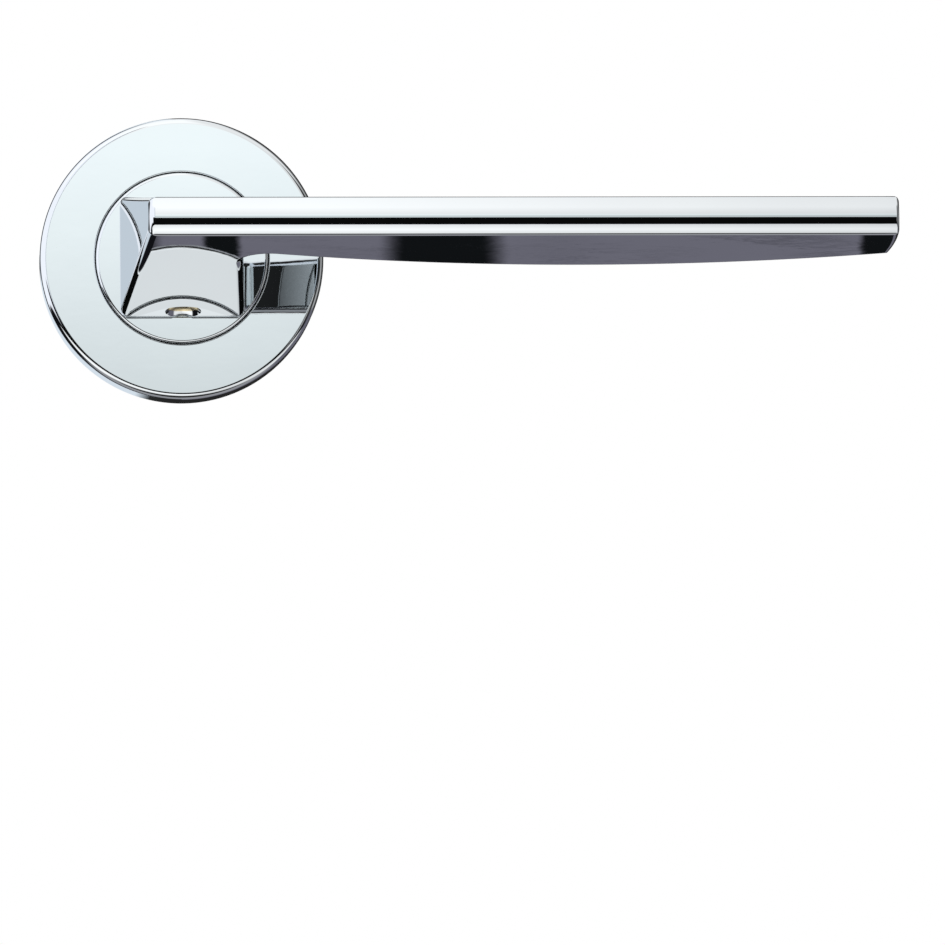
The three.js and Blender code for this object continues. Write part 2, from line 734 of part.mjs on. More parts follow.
const pieces = [
  ['base_plate', basePlate(), castZinc],
  ['bearing_bush', bearingBush(), whiteAcetal],
  ['return_spring', returnSpring(), springSteel],
  ['spring_cover', springCover(), zincPlatedSteel],
  ...earAngles.map((angle, place) => [`cover_screw_${place + 1}`, coverScrew(angle), zincPlatedSteel]),
  ['rose_cover', roseCover(), polishedChrome],
  ['lever', lever(), polishedChrome],
  ['set_screw', setScrew(), blackenedSteel],
  ['spring_driver', springDriver(), zincPlatedSteel],
  ['wave_washer', waveWasher(), springSteel],
  ['back_washer', backWasher(), zincPlatedSteel],
  ['retaining_ring', retainingRing(), springSteel],
];

const handle = new THREE.Group();
for (const [name, solid, finish] of pieces) {
  const mesh = new THREE.Mesh(geometryFrom(solid), new THREE.MeshStandardMaterial(finish));
  mesh.name = name;
  handle.add(mesh);
}

export default handle;
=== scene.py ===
"""Door lever handle on a sprung round rose, drawn in metres in the frame of its CAD part."""

import math
from contextlib import contextmanager

import bmesh
import bpy
from bpy.props import FloatProperty, FloatVectorProperty, IntProperty, PointerProperty
from mathutils import Matrix, Vector
from mathutils.kdtree import KDTree


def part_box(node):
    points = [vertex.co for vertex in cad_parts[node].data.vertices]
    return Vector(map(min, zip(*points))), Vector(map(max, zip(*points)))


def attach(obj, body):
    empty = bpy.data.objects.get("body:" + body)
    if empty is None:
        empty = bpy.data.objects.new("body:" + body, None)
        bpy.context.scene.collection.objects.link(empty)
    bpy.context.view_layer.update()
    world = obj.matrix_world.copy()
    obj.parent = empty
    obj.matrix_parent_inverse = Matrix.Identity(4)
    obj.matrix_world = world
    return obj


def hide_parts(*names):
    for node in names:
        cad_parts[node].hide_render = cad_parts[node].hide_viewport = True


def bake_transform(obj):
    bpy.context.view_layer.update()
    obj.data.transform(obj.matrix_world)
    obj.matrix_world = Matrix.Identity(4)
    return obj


bl_info = {
    "name": "Door lever handle",
    "version": (1, 0, 0),
    "blender": (4, 5, 0),
    "location": "3D View > Sidebar > Handle",
    "description": "A wedge shaped door lever on a round sprung rose, with its studio",
    "category": "Object",
}

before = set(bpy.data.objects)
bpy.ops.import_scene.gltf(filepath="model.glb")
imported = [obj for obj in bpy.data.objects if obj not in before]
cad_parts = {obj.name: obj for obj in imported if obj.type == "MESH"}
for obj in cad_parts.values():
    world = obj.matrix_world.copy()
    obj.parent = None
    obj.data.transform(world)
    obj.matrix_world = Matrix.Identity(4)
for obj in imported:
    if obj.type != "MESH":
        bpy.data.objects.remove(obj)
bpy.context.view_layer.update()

MM = 0.001
DOOR_AXIS = Vector((0, 1, 0))


def box_mm(node):
    """A node's lowest and highest corners in millimetres."""
    low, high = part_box(node)
    return low / MM, high / MM


COVER_LOW, COVER_HIGH = box_mm("rose_cover")
LEVER_LOW, LEVER_HIGH = box_mm("lever")


# ---- Sizes in millimetres, with depths measured out from the door ---------------------------

# The gap between moving pieces, and how far a cutting tool runs past the metal.
GAP, PAST = 0.3, 1.0

# The shank, its collar and flange, and the spindle's square socket.
SHANK_REAR, SHANK_RADIUS, SHANK_BORE = -LEVER_HIGH.y, 8.0, 8.0 + GAP
SHANK_FLAT, FLAT_FRONT = 6.8, 4.4
GROOVE_RADIUS, GROOVE_REAR, GROOVE_FRONT = 7.2, 0.95, 1.95
COLLAR_RADIUS, COLLAR_FRONT = 10.2, 10.6
FLANGE_RADIUS, FLANGE_REAR, FLANGE_FRONT = 15.78, 6.0, 8.3
SOCKET_HALF, SOCKET_FRONT, SOCKET_CORNER = 4.05, 23.2, 5.8

# The tapped hole in the neck's underside and the set screw in it.
HOLE_DEPTH, HOLE_TOP, HOLE_MOUTH = 13.2, 3.9, 11.0
THREAD_OUTER, THREAD_INNER, THREAD_PITCH, THREAD_END = 3.05, 2.78, 0.8, 9.0
PLAIN_RADIUS, MOUTH_RADIUS = 2.9, 3.6
GRUB_OUTER, GRUB_INNER, GRUB_TOP, GRUB_END = 2.7, 2.48, 4.35, 9.35
KEY_ACROSS, KEY_LENGTH = 3.0, 2.4

# The rose cover and the base plate inside it.
COVER_HOLE = FLANGE_RADIUS + GAP / 2
PLATE_RADIUS, PLATE_FRONT, PLATE_BORE = 24.5, 6.5, 9.5
CHAMBER_RADIUS, CHAMBER_FRONT = 14.9, 4.4
RECESS_RADIUS, RECESS_REAR = 16.2, 5.3
SEAT_RADIUS, SEAT_FRONT = 15.9, 0.8
LUG_ANGLES, LUG_INNER, LUG_REAR, LUG_HALF = (25.5, 109.5), 13.2, 3.45, 2.43
FIXING_REACH, FIXING_RADIUS = 19.0, 2.2
BOLT_HEAD_RADIUS, BOLT_HEAD_REAR = 3.55, 3.0
BUSH_SLEEVE, BUSH_FLANGE = 9.2, 14.55
BUSH_REAR, BUSH_STEP, BUSH_FRONT = 4.45, 5.4, 5.9

# The spring cover and its three screws.
LID_BORE, LID_RADIUS, LID_REAR, LID_FRONT = 8.7, 15.6, 0.1, 0.7
EAR_RADIUS, EAR_GAP = 2.4, 0.3
SCREW_ANGLES, SCREW_REACH = (45, 180, 315), 18.0
SCREW_HEAD, SCREW_BODY, SCREW_CORE, SCREW_TIP = 1.7, 1.0, 0.82, 0.4
SCREW_NECK, SCREW_END, SCREW_PITCH = 0.8, 3.0, 0.41
CROSS_LONG, CROSS_THIN = 0.95, 0.17

# What turns on the shank.
DRIVER_RADIUS, DRIVER_REAR, DRIVER_FRONT = 10.2, 3.4, 4.2
ARM_HALF, ARM_INNER, ARM_OUTER, TAB_REAR = 2.0, 8.2, 14.3, 2.1
RING_RADIUS, RING_STEPS = 10.0, 160
WAVE_REAR, WAVE_THICK, WAVE_LIFT, WAVES = 2.65, 0.4, 0.125, 3
WASHER_REAR, WASHER_FRONT = 1.95, 2.55
CLIP_INNER, CLIP_OUTER, CLIP_REAR, CLIP_FRONT = 7.3, 9.4, 1.05, 1.85
CLIP_GAP_ANGLES, CLIP_EAR_ANGLES = (-104, -76), (-109, -71)
CLIP_EAR_REACH, CLIP_EAR_RADIUS, CLIP_EAR_HOLE = 8.45, 1.25, 0.5

# The return spring's flat wire.
COIL_RADIUS, COIL_TURNS, COIL_REAR, COIL_RISE = 12.0, 1.75, 1.25, 1.6625
BEND_RADIUS, BEND_STEPS, COIL_STEPS = 1.5, 8, 140
ANCHOR_ANGLE, ANCHOR_REACH = 347.2, 16.2
SLOT_INNER, SLOT_FRONT, SLOT_HALF = 13.5, 1.9, 1.2
LEG_ANGLE, LEG_REACH = 77.2, 14.6
WIRE_HALF_WIDE, WIRE_HALF_THICK, WIRE_EDGE = 0.9, 0.325, 0.15

# Rounds of mesh, and the sharpest angle that is still shaded smooth, in degrees.
RIM_EXTRA_STEPS = 64
LEVER_ANGLE, COVER_ANGLE, INNER_ANGLE = 38, 38, 32


# ---- Sizes and finishes that a user may change ---------------------------------------------


def length(name, description, millimetres):
    """A size that a user may change."""
    return FloatProperty(name=name, description=description, default=millimetres * MM,
                         unit="LENGTH", subtype="DISTANCE")


def colour_of(name, description, default):
    """A colour that a user may change."""
    return FloatVectorProperty(name=name, description=f"Colour of the {description}",
                               default=default, subtype="COLOR", min=0, max=1)


class HandleSizes(bpy.types.PropertyGroup):
    """The sizes of the handle's visible edges and of its mesh."""

    edge_soft: length(
        "Neck edge radius", "Radius of the long edges of the neck and of the back of the grip", 1.4)
    edge_nose: length(
        "Nose edge radius", "Radius where the front face meets the top and the underside", 0.6)
    edge_end: length("End edge radius", "Radius round the outer end of the grip", 1.0)
    cover_edge: length("Rose edge radius", "Radius of the front edge of the rose cover", 1.2)
    cover_wall: length("Rose wall", "Thickness of the pressed rose cover", 1.2)
    turn_steps: IntProperty(
        name="Steps in a turn",
        description="How many steps a turned shape has round its axis",
        default=192, min=24)


class HandleFinishes(bpy.types.PropertyGroup):
    """The colours of the handle's metals and plastic."""

    chrome: colour_of("Chrome", "bright chrome plate", (0.77, 0.8, 0.815))
    brass: colour_of("Brass", "bare brass in the tapped hole", (0.82, 0.7, 0.45))
    cast_zinc: colour_of("Cast zinc", "die cast base plate", (0.5, 0.51, 0.52))
    zinc_plate: colour_of("Zinc plate", "bright zinc plated steel", (0.72, 0.74, 0.76))
    spring_steel: colour_of("Spring steel", "oiled spring steel", (0.33, 0.34, 0.37))
    black_oxide: colour_of("Black oxide", "blackened set screw", (0.06, 0.06, 0.065))
    acetal: colour_of("Acetal", "bearing plastic", (0.86, 0.85, 0.81))


# ---- Modelling helpers ---------------------------------------------------------------------


def deselect_all():
    """Leaves edit mode with nothing selected."""
    if bpy.context.object and bpy.context.object.mode != "OBJECT":
        bpy.ops.object.mode_set(mode="OBJECT")
    bpy.ops.object.select_all(action="DESELECT")


def make_active(piece):
    """Selects one object alone."""
    deselect_all()
    piece.select_set(True)
    bpy.context.view_layer.objects.active = piece


@contextmanager
def editing(piece):
    """Edit mode on one piece, with nothing selected at the start."""
    make_active(piece)
    bpy.ops.object.mode_set(mode="EDIT")
    bpy.ops.mesh.select_mode(type="VERT")
    bpy.ops.mesh.select_all(action="DESELECT")
    yield piece.data
    bpy.ops.object.mode_set(mode="OBJECT")


def pick(mesh, kind, wanted):
    """Selects, in edit mode, the faces or edges that pass a test."""
    bpy.ops.mesh.select_mode(type=kind)
    shape = bmesh.from_edit_mesh(mesh)
    for part in shape.faces if kind == "FACE" else shape.edges:
        part.select_set(bool(wanted(part)))
    shape.select_flush_mode()
    bmesh.update_edit_mesh(mesh)


def draw_loop(name, points):
    """A closed wire loop: a circle whose points are carried to their places."""
    deselect_all()
    bpy.ops.mesh.primitive_circle_add(vertices=len(points), radius=MM, fill_type="NOTHING")
    piece = bpy.context.object
    piece.name = piece.data.name = name
    for vertex, point in zip(piece.data.vertices, points):
        vertex.co = point
    return piece


def carry_loop(mesh, old, new):
    """Extrudes the selected loop and carries it from the old ring's points to the new ring's."""
    tree = KDTree(len(old))
    for index, point in enumerate(old):
        tree.insert(point, index)
    tree.balance()
    bpy.ops.mesh.extrude_region_move()
    shape = bmesh.from_edit_mesh(mesh)
    for vertex in shape.verts:
        if vertex.select:
            vertex.co = new[tree.find(vertex.co)[1]]
    bmesh.update_edit_mesh(mesh)


def loft(name, rings, closed=False):
    """A skin through rings of points, with both ends filled unless it closes on itself."""
    piece = draw_loop(name, rings[0])
    with editing(piece) as mesh:
        bpy.ops.mesh.select_all(action="SELECT")
        if not closed:
            bpy.ops.mesh.edge_face_add()
            pick(mesh, "EDGE", lambda edge: True)
        for old, new in zip(rings, rings[1:]):
            carry_loop(mesh, old, new)
        if not closed:
            bpy.ops.mesh.edge_face_add()
    tidy_skin(piece)
    return piece


def tidy_skin(piece, merge=1e-7):
    """Merges doubles, drops loose points and turns the faces outwards."""
    with editing(piece):
        bpy.ops.mesh.select_all(action="SELECT")
        bpy.ops.mesh.remove_doubles(threshold=merge)
        bpy.ops.mesh.delete_loose()
        bpy.ops.mesh.select_all(action="SELECT")
        bpy.ops.mesh.normals_make_consistent(inside=False)


def rounded(corners, step_degrees=9):
    """A flat outline with each corner (x, y, radius) turned into an arc."""
    outline = []
    count = len(corners)
    for index, (x, y, radius) in enumerate(corners):
        here = Vector((x, y))
        before = (Vector(corners[index - 1][:2]) - here).normalized()
        after = (Vector(corners[(index + 1) % count][:2]) - here).normalized()
        if radius <= 0:
            outline.append(here)
            continue
        half = math.acos(max(-1, min(1, before.dot(after)))) / 2
        centre = here + (before + after).normalized() * radius / math.sin(half)
        start = here + before * radius / math.tan(half) - centre
        sweep = math.pi - 2 * half
        turn = sweep if before.x * after.y - before.y * after.x < 0 else -sweep
        steps = max(2, math.ceil(math.degrees(sweep) / step_degrees))
        for step in range(steps + 1):
            outline.append(centre + Matrix.Rotation(turn * step / steps, 2) @ start)
    return outline


def turned(name, corners, steps, centre=(0, 0), step_degrees=9):
    """A shape turned about an axis along Y. Its section's corners are (radius, depth, edge radius)."""
    section = [Vector((p.x, -p.y, 0)) * MM for p in rounded(corners, step_degrees)]
    piece = draw_loop(name, section)
    with editing(piece) as mesh:
        on_axis = lambda v: abs(v.co.x) < 1e-9
        pick(mesh, "EDGE", lambda edge: on_axis(edge.verts[0]) and on_axis(edge.verts[1]))
        bpy.ops.mesh.delete(type="EDGE")
        bpy.ops.mesh.select_all(action="SELECT")
        bpy.ops.mesh.spin(steps=steps, angle=math.tau, center=(0, 0, 0), axis=(0, 1, 0))
    tidy_skin(piece)
    place(piece, lambda co: co + Vector((centre[0], 0, centre[1])) * MM)
    return piece


def place(piece, rule):
    """Moves each of a piece's points by a rule."""
    for vertex in piece.data.vertices:
        vertex.co = rule(vertex.co.copy())
    piece.data.update()


def block(name, low, high, soft=0.0, turn=0.0):
    """A box between two corners in millimetres, with soft edges, turned about the door axis."""
    deselect_all()
    low, high = Vector(low), Vector(high)
    bpy.ops.mesh.primitive_cube_add(size=1, location=(low + high) / 2 * MM, scale=(high - low) * MM)
    piece = bpy.context.object
    piece.name = piece.data.name = name
    bpy.ops.object.transform_apply(location=True, rotation=True, scale=True)
    if soft:
        soften(piece, soft, 3)
    if turn:
        swing = Matrix.Rotation(math.radians(-turn), 4, DOOR_AXIS)
        place(piece, lambda co: swing @ co)
    return piece


def rod(name, x, z, radius, rear, front, steps=64, soft=0.0):
    """A turned pin along the door axis."""
    corners = [(0, rear, 0), (radius, rear, soft), (radius, front, soft), (0, front, 0)]
    return turned(name, corners, steps, (x, z))


def apply_modifier(piece, kind, **settings):
    """Adds a modifier, sets it and applies it."""
    make_active(piece)
    modifier = piece.modifiers.new(kind.title(), kind)
    for setting, value in settings.items():
        setattr(modifier, setting, value)
    bpy.ops.object.modifier_apply(modifier=modifier.name)


def combine(piece, tool, operation="DIFFERENCE"):
    """Cuts the tool away from the piece, or joins it on, and removes the tool."""
    apply_modifier(piece, "BOOLEAN", object=tool, operation=operation, solver="EXACT")
    bpy.data.objects.remove(tool)
    if not piece.data.polygons:
        raise RuntimeError(f"{piece.name} has nothing left after a {operation.lower()}")


def soften(piece, width, segments=2, angle=30):
    """Rounds every edge sharper than an angle."""
    apply_modifier(piece, "BEVEL", width=width * MM, segments=segments, limit_method="ANGLE",
                   angle_limit=math.radians(angle), harden_normals=False, use_clamp_overlap=True)


def smooth(piece, angle):
    """Smooth shading that keeps the sharp edges and leaves flat faces flat."""
    make_active(piece)
    bpy.ops.object.shade_smooth_by_angle(angle=math.radians(angle))
    apply_modifier(piece, "WEIGHTED_NORMAL", mode="FACE_AREA", weight=80, keep_sharp=True)


def polar(radius, degrees):
    """A point at a radius and an angle from +X towards +Z."""
    return radius * math.cos(math.radians(degrees)), radius * math.sin(math.radians(degrees))


def finish_piece(piece, body, slot, *nodes, finish=None, angle=INNER_ANGLE):
    """Smooths a finished piece, gives it its material and its body, and hides the nodes it stands for.
    """
    smooth(piece, angle)
    piece.data.materials.clear()
    piece.data.materials.append(FINISHES[finish or slot])
    if body:
        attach(piece, body)
    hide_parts(*nodes)


# ---- Shader helpers ------------------------------------------------------------------------


class Value:
    """A shader number that takes arithmetic: each operator adds the Math node for it."""

    def __init__(self, nodes, socket):
        self.nodes, self.socket = nodes, socket

    def __add__(self, other): return self.nodes.math("ADD", self, other)
    def __radd__(self, other): return self.nodes.math("ADD", other, self)
    def __sub__(self, other): return self.nodes.math("SUBTRACT", self, other)
    def __rsub__(self, other): return self.nodes.math("SUBTRACT", other, self)
    def __mul__(self, other): return self.nodes.math("MULTIPLY", self, other)
    def __rmul__(self, other): return self.nodes.math("MULTIPLY", other, self)
    def __truediv__(self, other): return self.nodes.math("DIVIDE", self, other)
    def __rtruediv__(self, other): return self.nodes.math("DIVIDE", other, self)
    def __pow__(self, other): return self.nodes.math("POWER", self, other)


class Nodes:
    """A node tree being written."""

    def __init__(self, tree):
        self.tree = tree
        tree.nodes.clear()

    def put(self, socket, value):
        """Links a shader value to a socket, or sets the socket to a plain one."""
        if isinstance(value, Value):
            self.tree.links.new(value.socket, socket)
        elif isinstance(value, bpy.types.NodeSocket):
            self.tree.links.new(value, socket)
        elif hasattr(socket.default_value, "__len__") and len(socket.default_value) == 4:
            socket.default_value = (*value[:3], 1.0)
        else:
            socket.default_value = value

    def node(self, kind, settings=None, sockets=None, out=0):
        """Any node: its settings first, then its sockets. Returns the chosen output."""
        made = self.tree.nodes.new(kind)
        for name, value in (settings or {}).items():
            if name == "stops":
                ramp = made.color_ramp.elements
                while len(ramp) < len(value):
                    ramp.new(0.5)
                for stop, (position, colour) in zip(ramp, value):
                    stop.position = position
                    stop.color = (*colour, 1) if hasattr(colour, "__len__") else (colour,) * 3 + (1,)
            else:
                setattr(made, name, value)
        for name, value in (sockets or {}).items():
            self.put(made.inputs[name], value)
        return Value(self, made.outputs[out]) if made.outputs else made

    def math(self, operation, *values):
        """One Math node."""
        return self.node("ShaderNodeMath", {"operation": operation}, dict(enumerate(values)))

    def step(self, value, low, high):
        """0 below low, 1 above high and a smooth change between them."""
        return self.node("ShaderNodeMapRange", {"interpolation_type": "SMOOTHSTEP"},
                         {"Value": value, "From Min": low, "From Max": high})

    def mix(self, factor, first, second):
        """A colour between two colours."""
        return self.node("ShaderNodeMix", {"data_type": "RGBA", "clamp_factor": True},
                         {0: factor, 6: first, 7: second}, out=2)

    def place_on(self, centre=(0, 0, 0), scale=(1, 1, 1), turn=(0, 0, 0)):
        """The piece's own coordinates, moved, turned and stretched for a pattern."""
        where = self.node("ShaderNodeTexCoord", out="Object")
        return self.node("ShaderNodeMapping", {"vector_type": "POINT"},
                         {"Vector": where, "Location": [-c * s for c, s in zip(centre, scale)],
                          "Scale": scale, "Rotation": turn})

    def noise(self, where, scale, detail=3.0, rough=0.5):
        """Cloudy noise between 0 and 1."""
        return self.node("ShaderNodeTexNoise", None,
                         {"Vector": where, "Scale": scale, "Detail": detail, "Roughness": rough})

    def split(self, vector):
        """The three parts of a vector."""
        made = self.tree.nodes.new("ShaderNodeSeparateXYZ")
        self.put(made.inputs[0], vector)
        return [Value(self, output) for output in made.outputs]

    def bump(self, height, distance, strength=1.0, normal=None):
        """A small relief of the surface."""
        sockets = {"Height": height, "Distance": distance, "Strength": strength}
        if normal is not None:
            sockets["Normal"] = normal
        return self.node("ShaderNodeBump", None, sockets)

    def surface(self, sockets):
        """The Principled shader and the material's output."""
        shader = self.node("ShaderNodeBsdfPrincipled", None, sockets)
        self.node("ShaderNodeOutputMaterial", None, {"Surface": shader})


def shade(colour, factor):
    """A colour made darker or lighter."""
    return [part * factor for part in colour]


def new_material(name):
    """An empty material and its node tree."""
    material = bpy.data.materials.new(name)
    material.use_nodes = True
    return material, Nodes(material.node_tree)


def chrome_plate(name, colour, brass=None):
    """Bright chrome: mirror smooth, with the faint waves and hairlines that polishing leaves."""
    material, n = new_material(name)
    where = n.place_on()
    waves = n.noise(where, 55, 1.0)
    ripple = n.noise(n.place_on(scale=(1, 1.6, 1.6)), 260, 2.0)
    hairs = n.noise(n.place_on(scale=(60, 900, 900), turn=(0.2, 0.1, 0.5)), 12, 2.0)
    smear = n.noise(where, 90, 4.0, 0.6)
    rough = 0.012 + 0.02 * n.step(smear, 0.5, 0.75) + 0.012 * n.step(hairs, 0.62, 0.8)
    tint = n.mix(n.step(waves, 0.3, 0.7), colour, [c * f for c, f in zip(colour, (0.985, 0.985, 0.99))])
    relief = n.bump(waves + 0.12 * ripple, 0.000012)
    sockets = {"Metallic": 1.0, "IOR": 2.5, "Normal": relief}
    if brass:
        x, y, z = n.split(where)
        # The thread in the neck's underside is cut through the plate, so it shows bare brass.
        reach = (x * x + (y + HOLE_DEPTH * MM) * (y + HOLE_DEPTH * MM)) ** 0.5
        rim, top = THREAD_OUTER + 0.01, 0.3 - HOLE_TOP
        bare = 1 - n.step(reach, rim * MM, (rim + 0.06) * MM)
        bare = bare * (1 - n.step(z, top * MM, (top + 0.1) * MM))
        # Behind the flange and in the socket the metal is left as it was cut, without polishing.
        flange, socket_end = 0.2 - FLANGE_FRONT, -0.9 - SOCKET_FRONT
        hidden = n.step(y, flange * MM, (flange + 0.2) * MM)
        radius = (x * x + z * z) ** 0.5
        socket = 1 - n.step(radius, SOCKET_CORNER * MM, (SOCKET_CORNER + 0.3) * MM)
        socket = socket * n.step(y, socket_end * MM, (socket_end + 0.1) * MM)
        dull = n.math("MAXIMUM", hidden, socket)
        mottle = n.noise(where, 900, 3.0)
        cut_brass = n.mix(mottle, brass, shade(brass, 0.8))
        tint = n.mix(bare, n.mix(dull * 0.5, tint, (0.72, 0.72, 0.71)), cut_brass)
        rough = rough + dull * (0.16 + 0.12 * mottle) + bare * (0.1 + 0.18 * mottle)
    n.surface({**sockets, "Base Color": tint, "Roughness": rough})
    return material


def cast_zinc(name, colour):
    """Bare die-cast zinc: a dull skin with flow marks, fine pits and rubbed high spots."""
    material, n = new_material(name)
    where = n.place_on()
    flow = n.noise(n.place_on(scale=(1, 0.5, 2.2), turn=(0, 0.6, 0)), 160, 4.0, 0.6)
    grain = n.noise(where, 2600, 3.0, 0.6)
    pits = n.node("ShaderNodeTexVoronoi", {"feature": "F1"}, {"Vector": where, "Scale": 900})
    pit = 1 - n.step(pits, 0.05, 0.22)
    tint = n.mix(n.step(flow, 0.35, 0.7), shade(colour, 0.82), shade(colour, 1.12))
    tint = n.mix(pit * 0.5, tint, shade(colour, 0.45))
    rough = 0.42 + 0.2 * flow + 0.08 * grain
    relief = n.bump(grain * 0.7 + flow * 0.5 - pit * 0.8, 0.00003, 0.8)
    n.surface({"Base Color": tint, "Metallic": 0.85, "Roughness": rough, "Normal": relief})
    return material


def zinc_plate(name, colour):
    """Bright zinc plate on steel: rolled grain under it and a faint blue and straw cast over it."""
    material, n = new_material(name)
    where = n.place_on()
    cast = n.noise(where, 130, 3.0)
    rolled = n.noise(n.place_on(scale=(1, 1, 9)), 900, 3.0, 0.6)
    spots = n.noise(where, 1400, 3.0, 0.65)
    blue = [colour[0] * 0.92, colour[1] * 0.98, min(1.0, colour[2] * 1.08)]
    straw = [min(1.0, colour[0] * 1.06), colour[1], colour[2] * 0.86]
    tint = n.mix(n.step(cast, 0.3, 0.7), blue, straw)
    tint = n.mix(n.step(spots, 0.58, 0.8) * 0.35, tint, shade(colour, 0.6))
    rough = 0.2 + 0.16 * rolled + 0.14 * n.step(cast, 0.4, 0.8)
    relief = n.bump(rolled + 0.4 * spots, 0.000012, 0.8)
    n.surface({"Base Color": tint, "Metallic": 1.0, "Roughness": rough, "Normal": relief})
    return material


def oiled_spring(name, colour):
    """Spring steel with drawing lines and a thin film of oil."""
    material, n = new_material(name)
    where = n.place_on()
    film = n.noise(where, 240, 3.0)
    drawn = n.noise(n.place_on(scale=(1, 14, 1)), 700, 2.0)
    tint = n.mix(n.step(film, 0.35, 0.7), colour, [colour[0] * 0.6, colour[1] * 0.66, colour[2] * 0.85])
    rough = 0.18 + 0.2 * film + 0.08 * drawn
    n.surface({"Base Color": tint, "Metallic": 1.0, "Roughness": rough,
               "Normal": n.bump(drawn, 0.00001, 0.7), "Coat Weight": n.step(film, 0.3, 0.8) * 0.5})
    return material


def black_oxide(name, colour):
    """Blackened steel, rubbed to bare metal on its crests."""
    material, n = new_material(name)
    where = n.place_on()
    patch = n.noise(where, 1100, 4.0, 0.6)
    rub = n.step(patch, 0.6, 0.75)
    tint = n.mix(rub * 0.5, colour, (0.32, 0.31, 0.3))
    n.surface({"Base Color": tint, "Metallic": 0.9, "Roughness": 0.32 + 0.2 * patch,
               "Normal": n.bump(patch, 0.00001, 0.6)})
    return material


def acetal(name, colour):
    """Moulded white bearing plastic, slightly waxy, with a fine mould texture."""
    material, n = new_material(name)
    where = n.place_on()
    cloud = n.noise(where, 220, 3.0)
    mould = n.noise(where, 3200, 2.0)
    tint = n.mix(cloud, colour, shade(colour, 0.94))
    n.surface({"Base Color": tint, "Roughness": 0.3 + 0.14 * mould, "Subsurface Weight": 0.15,
               "Subsurface Scale": 0.001, "IOR": 1.48, "Normal": n.bump(mould, 0.00002, 0.5)})
    return material


FINISHES = {}


def make_finishes(colours):
    """The finishes of the handle, each made once."""
    FINISHES.update(
        lever=chrome_plate("lever_chrome", list(colours.chrome), list(colours.brass)),
        polished_chrome=chrome_plate("rose_chrome", list(colours.chrome)),
        cast_zinc=cast_zinc("cast_zinc", list(colours.cast_zinc)),
        zinc_plated_steel=zinc_plate("zinc_plated_steel", list(colours.zinc_plate)),
        spring_steel=oiled_spring("spring_steel", list(colours.spring_steel)),
        screw_steel=black_oxide("screw_steel", list(colours.black_oxide)),
        acetal=acetal("acetal", list(colours.acetal)),
    )


# ---- The lever's shape ---------------------------------------------------------------------

NECK_REAR = 9.9
NOSE_CREST = -LEVER_LOW.y
NOSE_SAG = 0.95
NOSE_EDGE = NOSE_CREST - NOSE_SAG
NOSE_HALF = 3.4
NECK_HEIGHT = 11.1
HEIGHT_RISE = 0.135
HEIGHT_RUN = NOSE_EDGE - NECK_REAR
HEIGHT_FLARE = NECK_HEIGHT - NOSE_HALF - HEIGHT_RISE * HEIGHT_RUN
NECK_HALF = 11.4
LEFT_LEAN = 0.0704
RIGHT_LEAN = 0.0478
GRIP_CENTRE = Vector((69.7, 241.4))
GRIP_RADIUS = 198.0
END_CENTRE = Vector((LEVER_HIGH.x - 61.45, 58.1))
END_RADIUS = 61.45
WALL_LEVELS = 14
EDGE_LEVELS = 10


def half_height(depth):
    """Half the lever's height at a depth from the door."""
    run = max(0.0, NOSE_EDGE - depth)
    return NOSE_HALF + HEIGHT_RISE * run + HEIGHT_FLARE * (run / HEIGHT_RUN) ** 2


def straight(point, outward):
    """A straight side of the outline: its outward direction and its distance."""
    outward = Vector(outward).normalized()
    return "straight", outward, outward.dot(Vector(point))


def lever_sides(nose):
    """The six sides of the lever seen from above, with the front at a depth."""
    return {
        "rear": straight((0, NECK_REAR), (0, -1)),
        "left": straight((-NECK_HALF, NECK_REAR), (-1, LEFT_LEAN)),
        "front": straight((0, nose), (0, 1)),
        "end": ("arc", END_CENTRE, END_RADIUS),
        "grip": ("arc", GRIP_CENTRE, GRIP_RADIUS),
        "right": straight((NECK_HALF, NECK_REAR), (1, RIGHT_LEAN)),
    }


# Corner: the two sides it joins, its radius, a point near it, its steps, and whether it is hollow.
LEVER_CORNERS = [
    ("rear", "left", 1.2, (-11.4, 9.9), 10, False),
    ("left", "front", 1.2, (-7.5, 65.0), 14, False),
    ("front", "end", 0.6, (124.2, 65.0), 10, False),
    ("end", "grip", 0.6, (124.2, 51.0), 10, False),
    ("grip", "right", 4.5, (12.0, 48.0), 26, True),
    ("right", "rear", 1.2, (11.4, 9.9), 10, False),
]
SIDE_STEPS = {"left": 26, "front": 60, "end": 18, "grip": 72, "right": 26, "rear": 16}


def cross(first, second, near):
    """Where two lines or circles meet, nearest to a point."""
    kinds = first[0] + second[0]
    if kinds == "straightstraight":
        (_, n1, c1), (_, n2, c2) = first, second
        det = n1.x * n2.y - n1.y * n2.x
        return Vector(((c1 * n2.y - c2 * n1.y) / det, (n1.x * c2 - n2.x * c1) / det))
    if kinds == "arcstraight":
        return cross(second, first, near)
    if kinds == "straightarc":
        (_, normal, offset), (_, centre, radius) = first, second
    else:
        (_, centre, radius), (_, other, reach) = first, second
        gap = other - centre
        normal = gap.normalized()
        offset = normal.dot(centre) + (radius**2 - reach**2 + gap.length**2) / (2 * gap.length)
    foot = centre + normal * (offset - normal.dot(centre))
    half = math.sqrt(max(0.0, radius**2 - (foot - centre).length ** 2))
    along = Vector((-normal.y, normal.x)) * half
    return min((foot + along, foot - along), key=lambda p: (p - Vector(near)).length)


def moved_in(side, inset):
    """A side moved into the metal."""
    kind, base, size = side
    return kind, base, size - inset


def touch(side, point):
    """The point of a side nearest to a fillet's centre."""
    kind, base, size = side
    if kind == "straight":
        return point + base * (size - base.dot(point))
    return base + (point - base).normalized() * size


